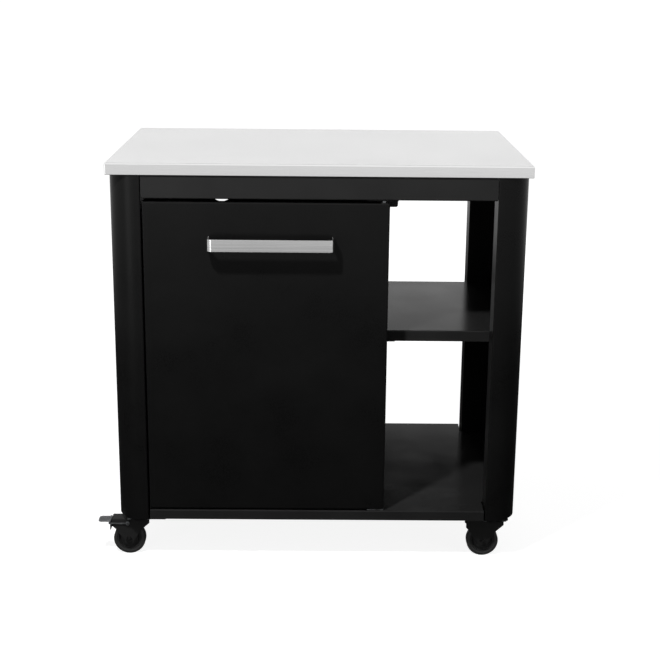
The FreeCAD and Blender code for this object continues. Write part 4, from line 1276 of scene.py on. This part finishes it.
# Small, high and in front on the left: it draws the sharp shadows, under the rail and on the shelf.
KEY = Lamp("key", (-0.62, -1.30, 2.15), (0.0, -0.2, 0.55), 0.12, 40.0, mirrored=False)
# Low on the left: it lifts the left column and the folds that face it, and metal shows it as a soft streak.
SIDE = Lamp("side", (-2.0, -2.6, 0.6), (-0.3, -0.3, 0.6), 1.1, 6.5)
# Large and weak on the right: it keeps the right column and the bay's cheek from going black.
FILL = Lamp("fill", (2.6, -2.2, 1.6), (0.0, 0.0, 0.5), 1.6, 5.0)
# Large, high and behind: it lights the floor, the shelf and the bottom tray through the open bay.
REAR = Lamp("rear", (0.6, 3.2, 2.2), (0.0, 0.0, 0.5), 2.0, 35.0, mirrored=False)


@dataclass(frozen=True)
class Studio:
    """A white sweep and surround, four lamps (key, side, fill and rear) and the camera.

    Attributes:
        front: Where the floor starts, in front of the cart.
        turn: Where it starts to curve up, behind the cart.
        bend: The radius of that curve.
        top: The height of the wall.
        half_width: Half the width of the floor and the wall.
        paper: The paper that they are made of.
        surround: The strength of the white surround as light on the cart; it shows at full strength.
        lamps: The lamps.
        place: The camera's place.
        yaw: Its turn to the right, in radians.
        pitch: Its tilt down, in radians.
        roll: Its roll, in radians.
        focal_share: Its focal length over the picture's width, both in pixels of the photograph.
        sensor_mm: The width of its sensor.
    """

    front: float = -9.0
    turn: float = 6.0
    bend: float = 2.0
    top: float = 9.0
    half_width: float = 12.0
    paper: SweepPaper = SweepPaper()
    surround: float = 0.15
    lamps: tuple[Lamp, ...] = (KEY, SIDE, FILL, REAR)
    place: Point = (-0.0014, -3.0922, 1.3182)
    yaw: float = 0.0094
    pitch: float = 0.2708
    roll: float = 0.0100
    focal_share: float = 1345.5 / 660
    sensor_mm: float = 36.0

    def build(self) -> None:
        """Builds the sweep, the world, the lamps and the camera."""
        bpy.context.scene.view_settings.view_transform = "Standard"
        self.sweep()
        self.world()
        for lamp in self.lamps:
            lamp.hang()
        self.camera()
        LOG.info("studio built with %d lamps", len(self.lamps))

    def sweep(self) -> None:
        """Lays a floor that curves up behind in a quarter circle, wide enough to fill every view."""
        curve = arc((self.turn, self.bend), self.bend, -90, 0, 17)
        line = np.concatenate([[(self.front, 0.0)], curve, [(self.turn + self.bend, self.top)]])
        across = np.linspace(-self.half_width, self.half_width, 5)
        points = np.stack(np.broadcast_arrays(across[None, :], line[:, :1], line[:, 1:]), axis=-1)
        floor = piece_from("studio_sweep", [Shell(points, loop_columns=False)])
        floor.data.materials.append(self.paper.material())

    def world(self) -> None:
        """Surrounds the cart with dim grey for light, which shows white to the camera and in metal."""
        world, tree = new_tree(bpy.data.worlds, "white surround")
        rays = add_node(tree, "LightPath").outputs
        seen = rays["Is Camera Ray"]
        for kind in ("Is Glossy Ray", "Is Transmission Ray"):
            seen = add_node(tree, "Math", LARGER, links={0: seen, 1: rays[kind]}).outputs[0]
        dim, white = [
            add_node(tree, "Background", values={"Color": WHITE, "Strength": strength}).outputs[0]
            for strength in (self.surround, 1.0)
        ]
        mix = add_node(tree, "MixShader", links={0: seen, 1: dim, 2: white})
        add_node(tree, "OutputWorld", links={"Surface": mix.outputs[0]})
        bpy.context.scene.world = world

    def camera(self) -> None:
        """Stands the camera, looking to (sin yaw cos pitch, cos yaw cos pitch, -sin pitch), then rolled."""
        level = math.cos(self.pitch)
        forward = Vector((math.sin(self.yaw) * level, math.cos(self.yaw) * level, -math.sin(self.pitch)))
        right = forward.cross(Vector((0, 0, 1))).normalized()
        up = right.cross(forward)
        across = math.cos(self.roll) * right + math.sin(self.roll) * up
        above = -math.sin(self.roll) * right + math.cos(self.roll) * up
        data = bpy.data.cameras.new("camera")
        data.sensor_width = self.sensor_mm
        data.lens = self.sensor_mm * self.focal_share
        camera = bpy.data.objects.new("camera", data)
        turned_to = Matrix((across, above, -forward)).transposed().to_4x4()
        camera.matrix_world = Matrix.Translation(self.place) @ turned_to
        bpy.context.scene.collection.objects.link(camera)
        bpy.context.scene.camera = camera


def main() -> None:
    """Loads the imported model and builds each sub-assembly in order."""
    logging.basicConfig(level=logging.INFO, format="%(message)s")
    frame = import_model()
    nodes: Nodes = frame["nodes"]
    for assembly in (Worktop(nodes), Cabinet(nodes), Door(nodes), Undercarriage(nodes)):
        LOG.info("building %s", type(assembly).__name__)
        assembly.build()
    Studio().build()
    bpy.context.view_layer.update()


if __name__ == "__main__":
    main()
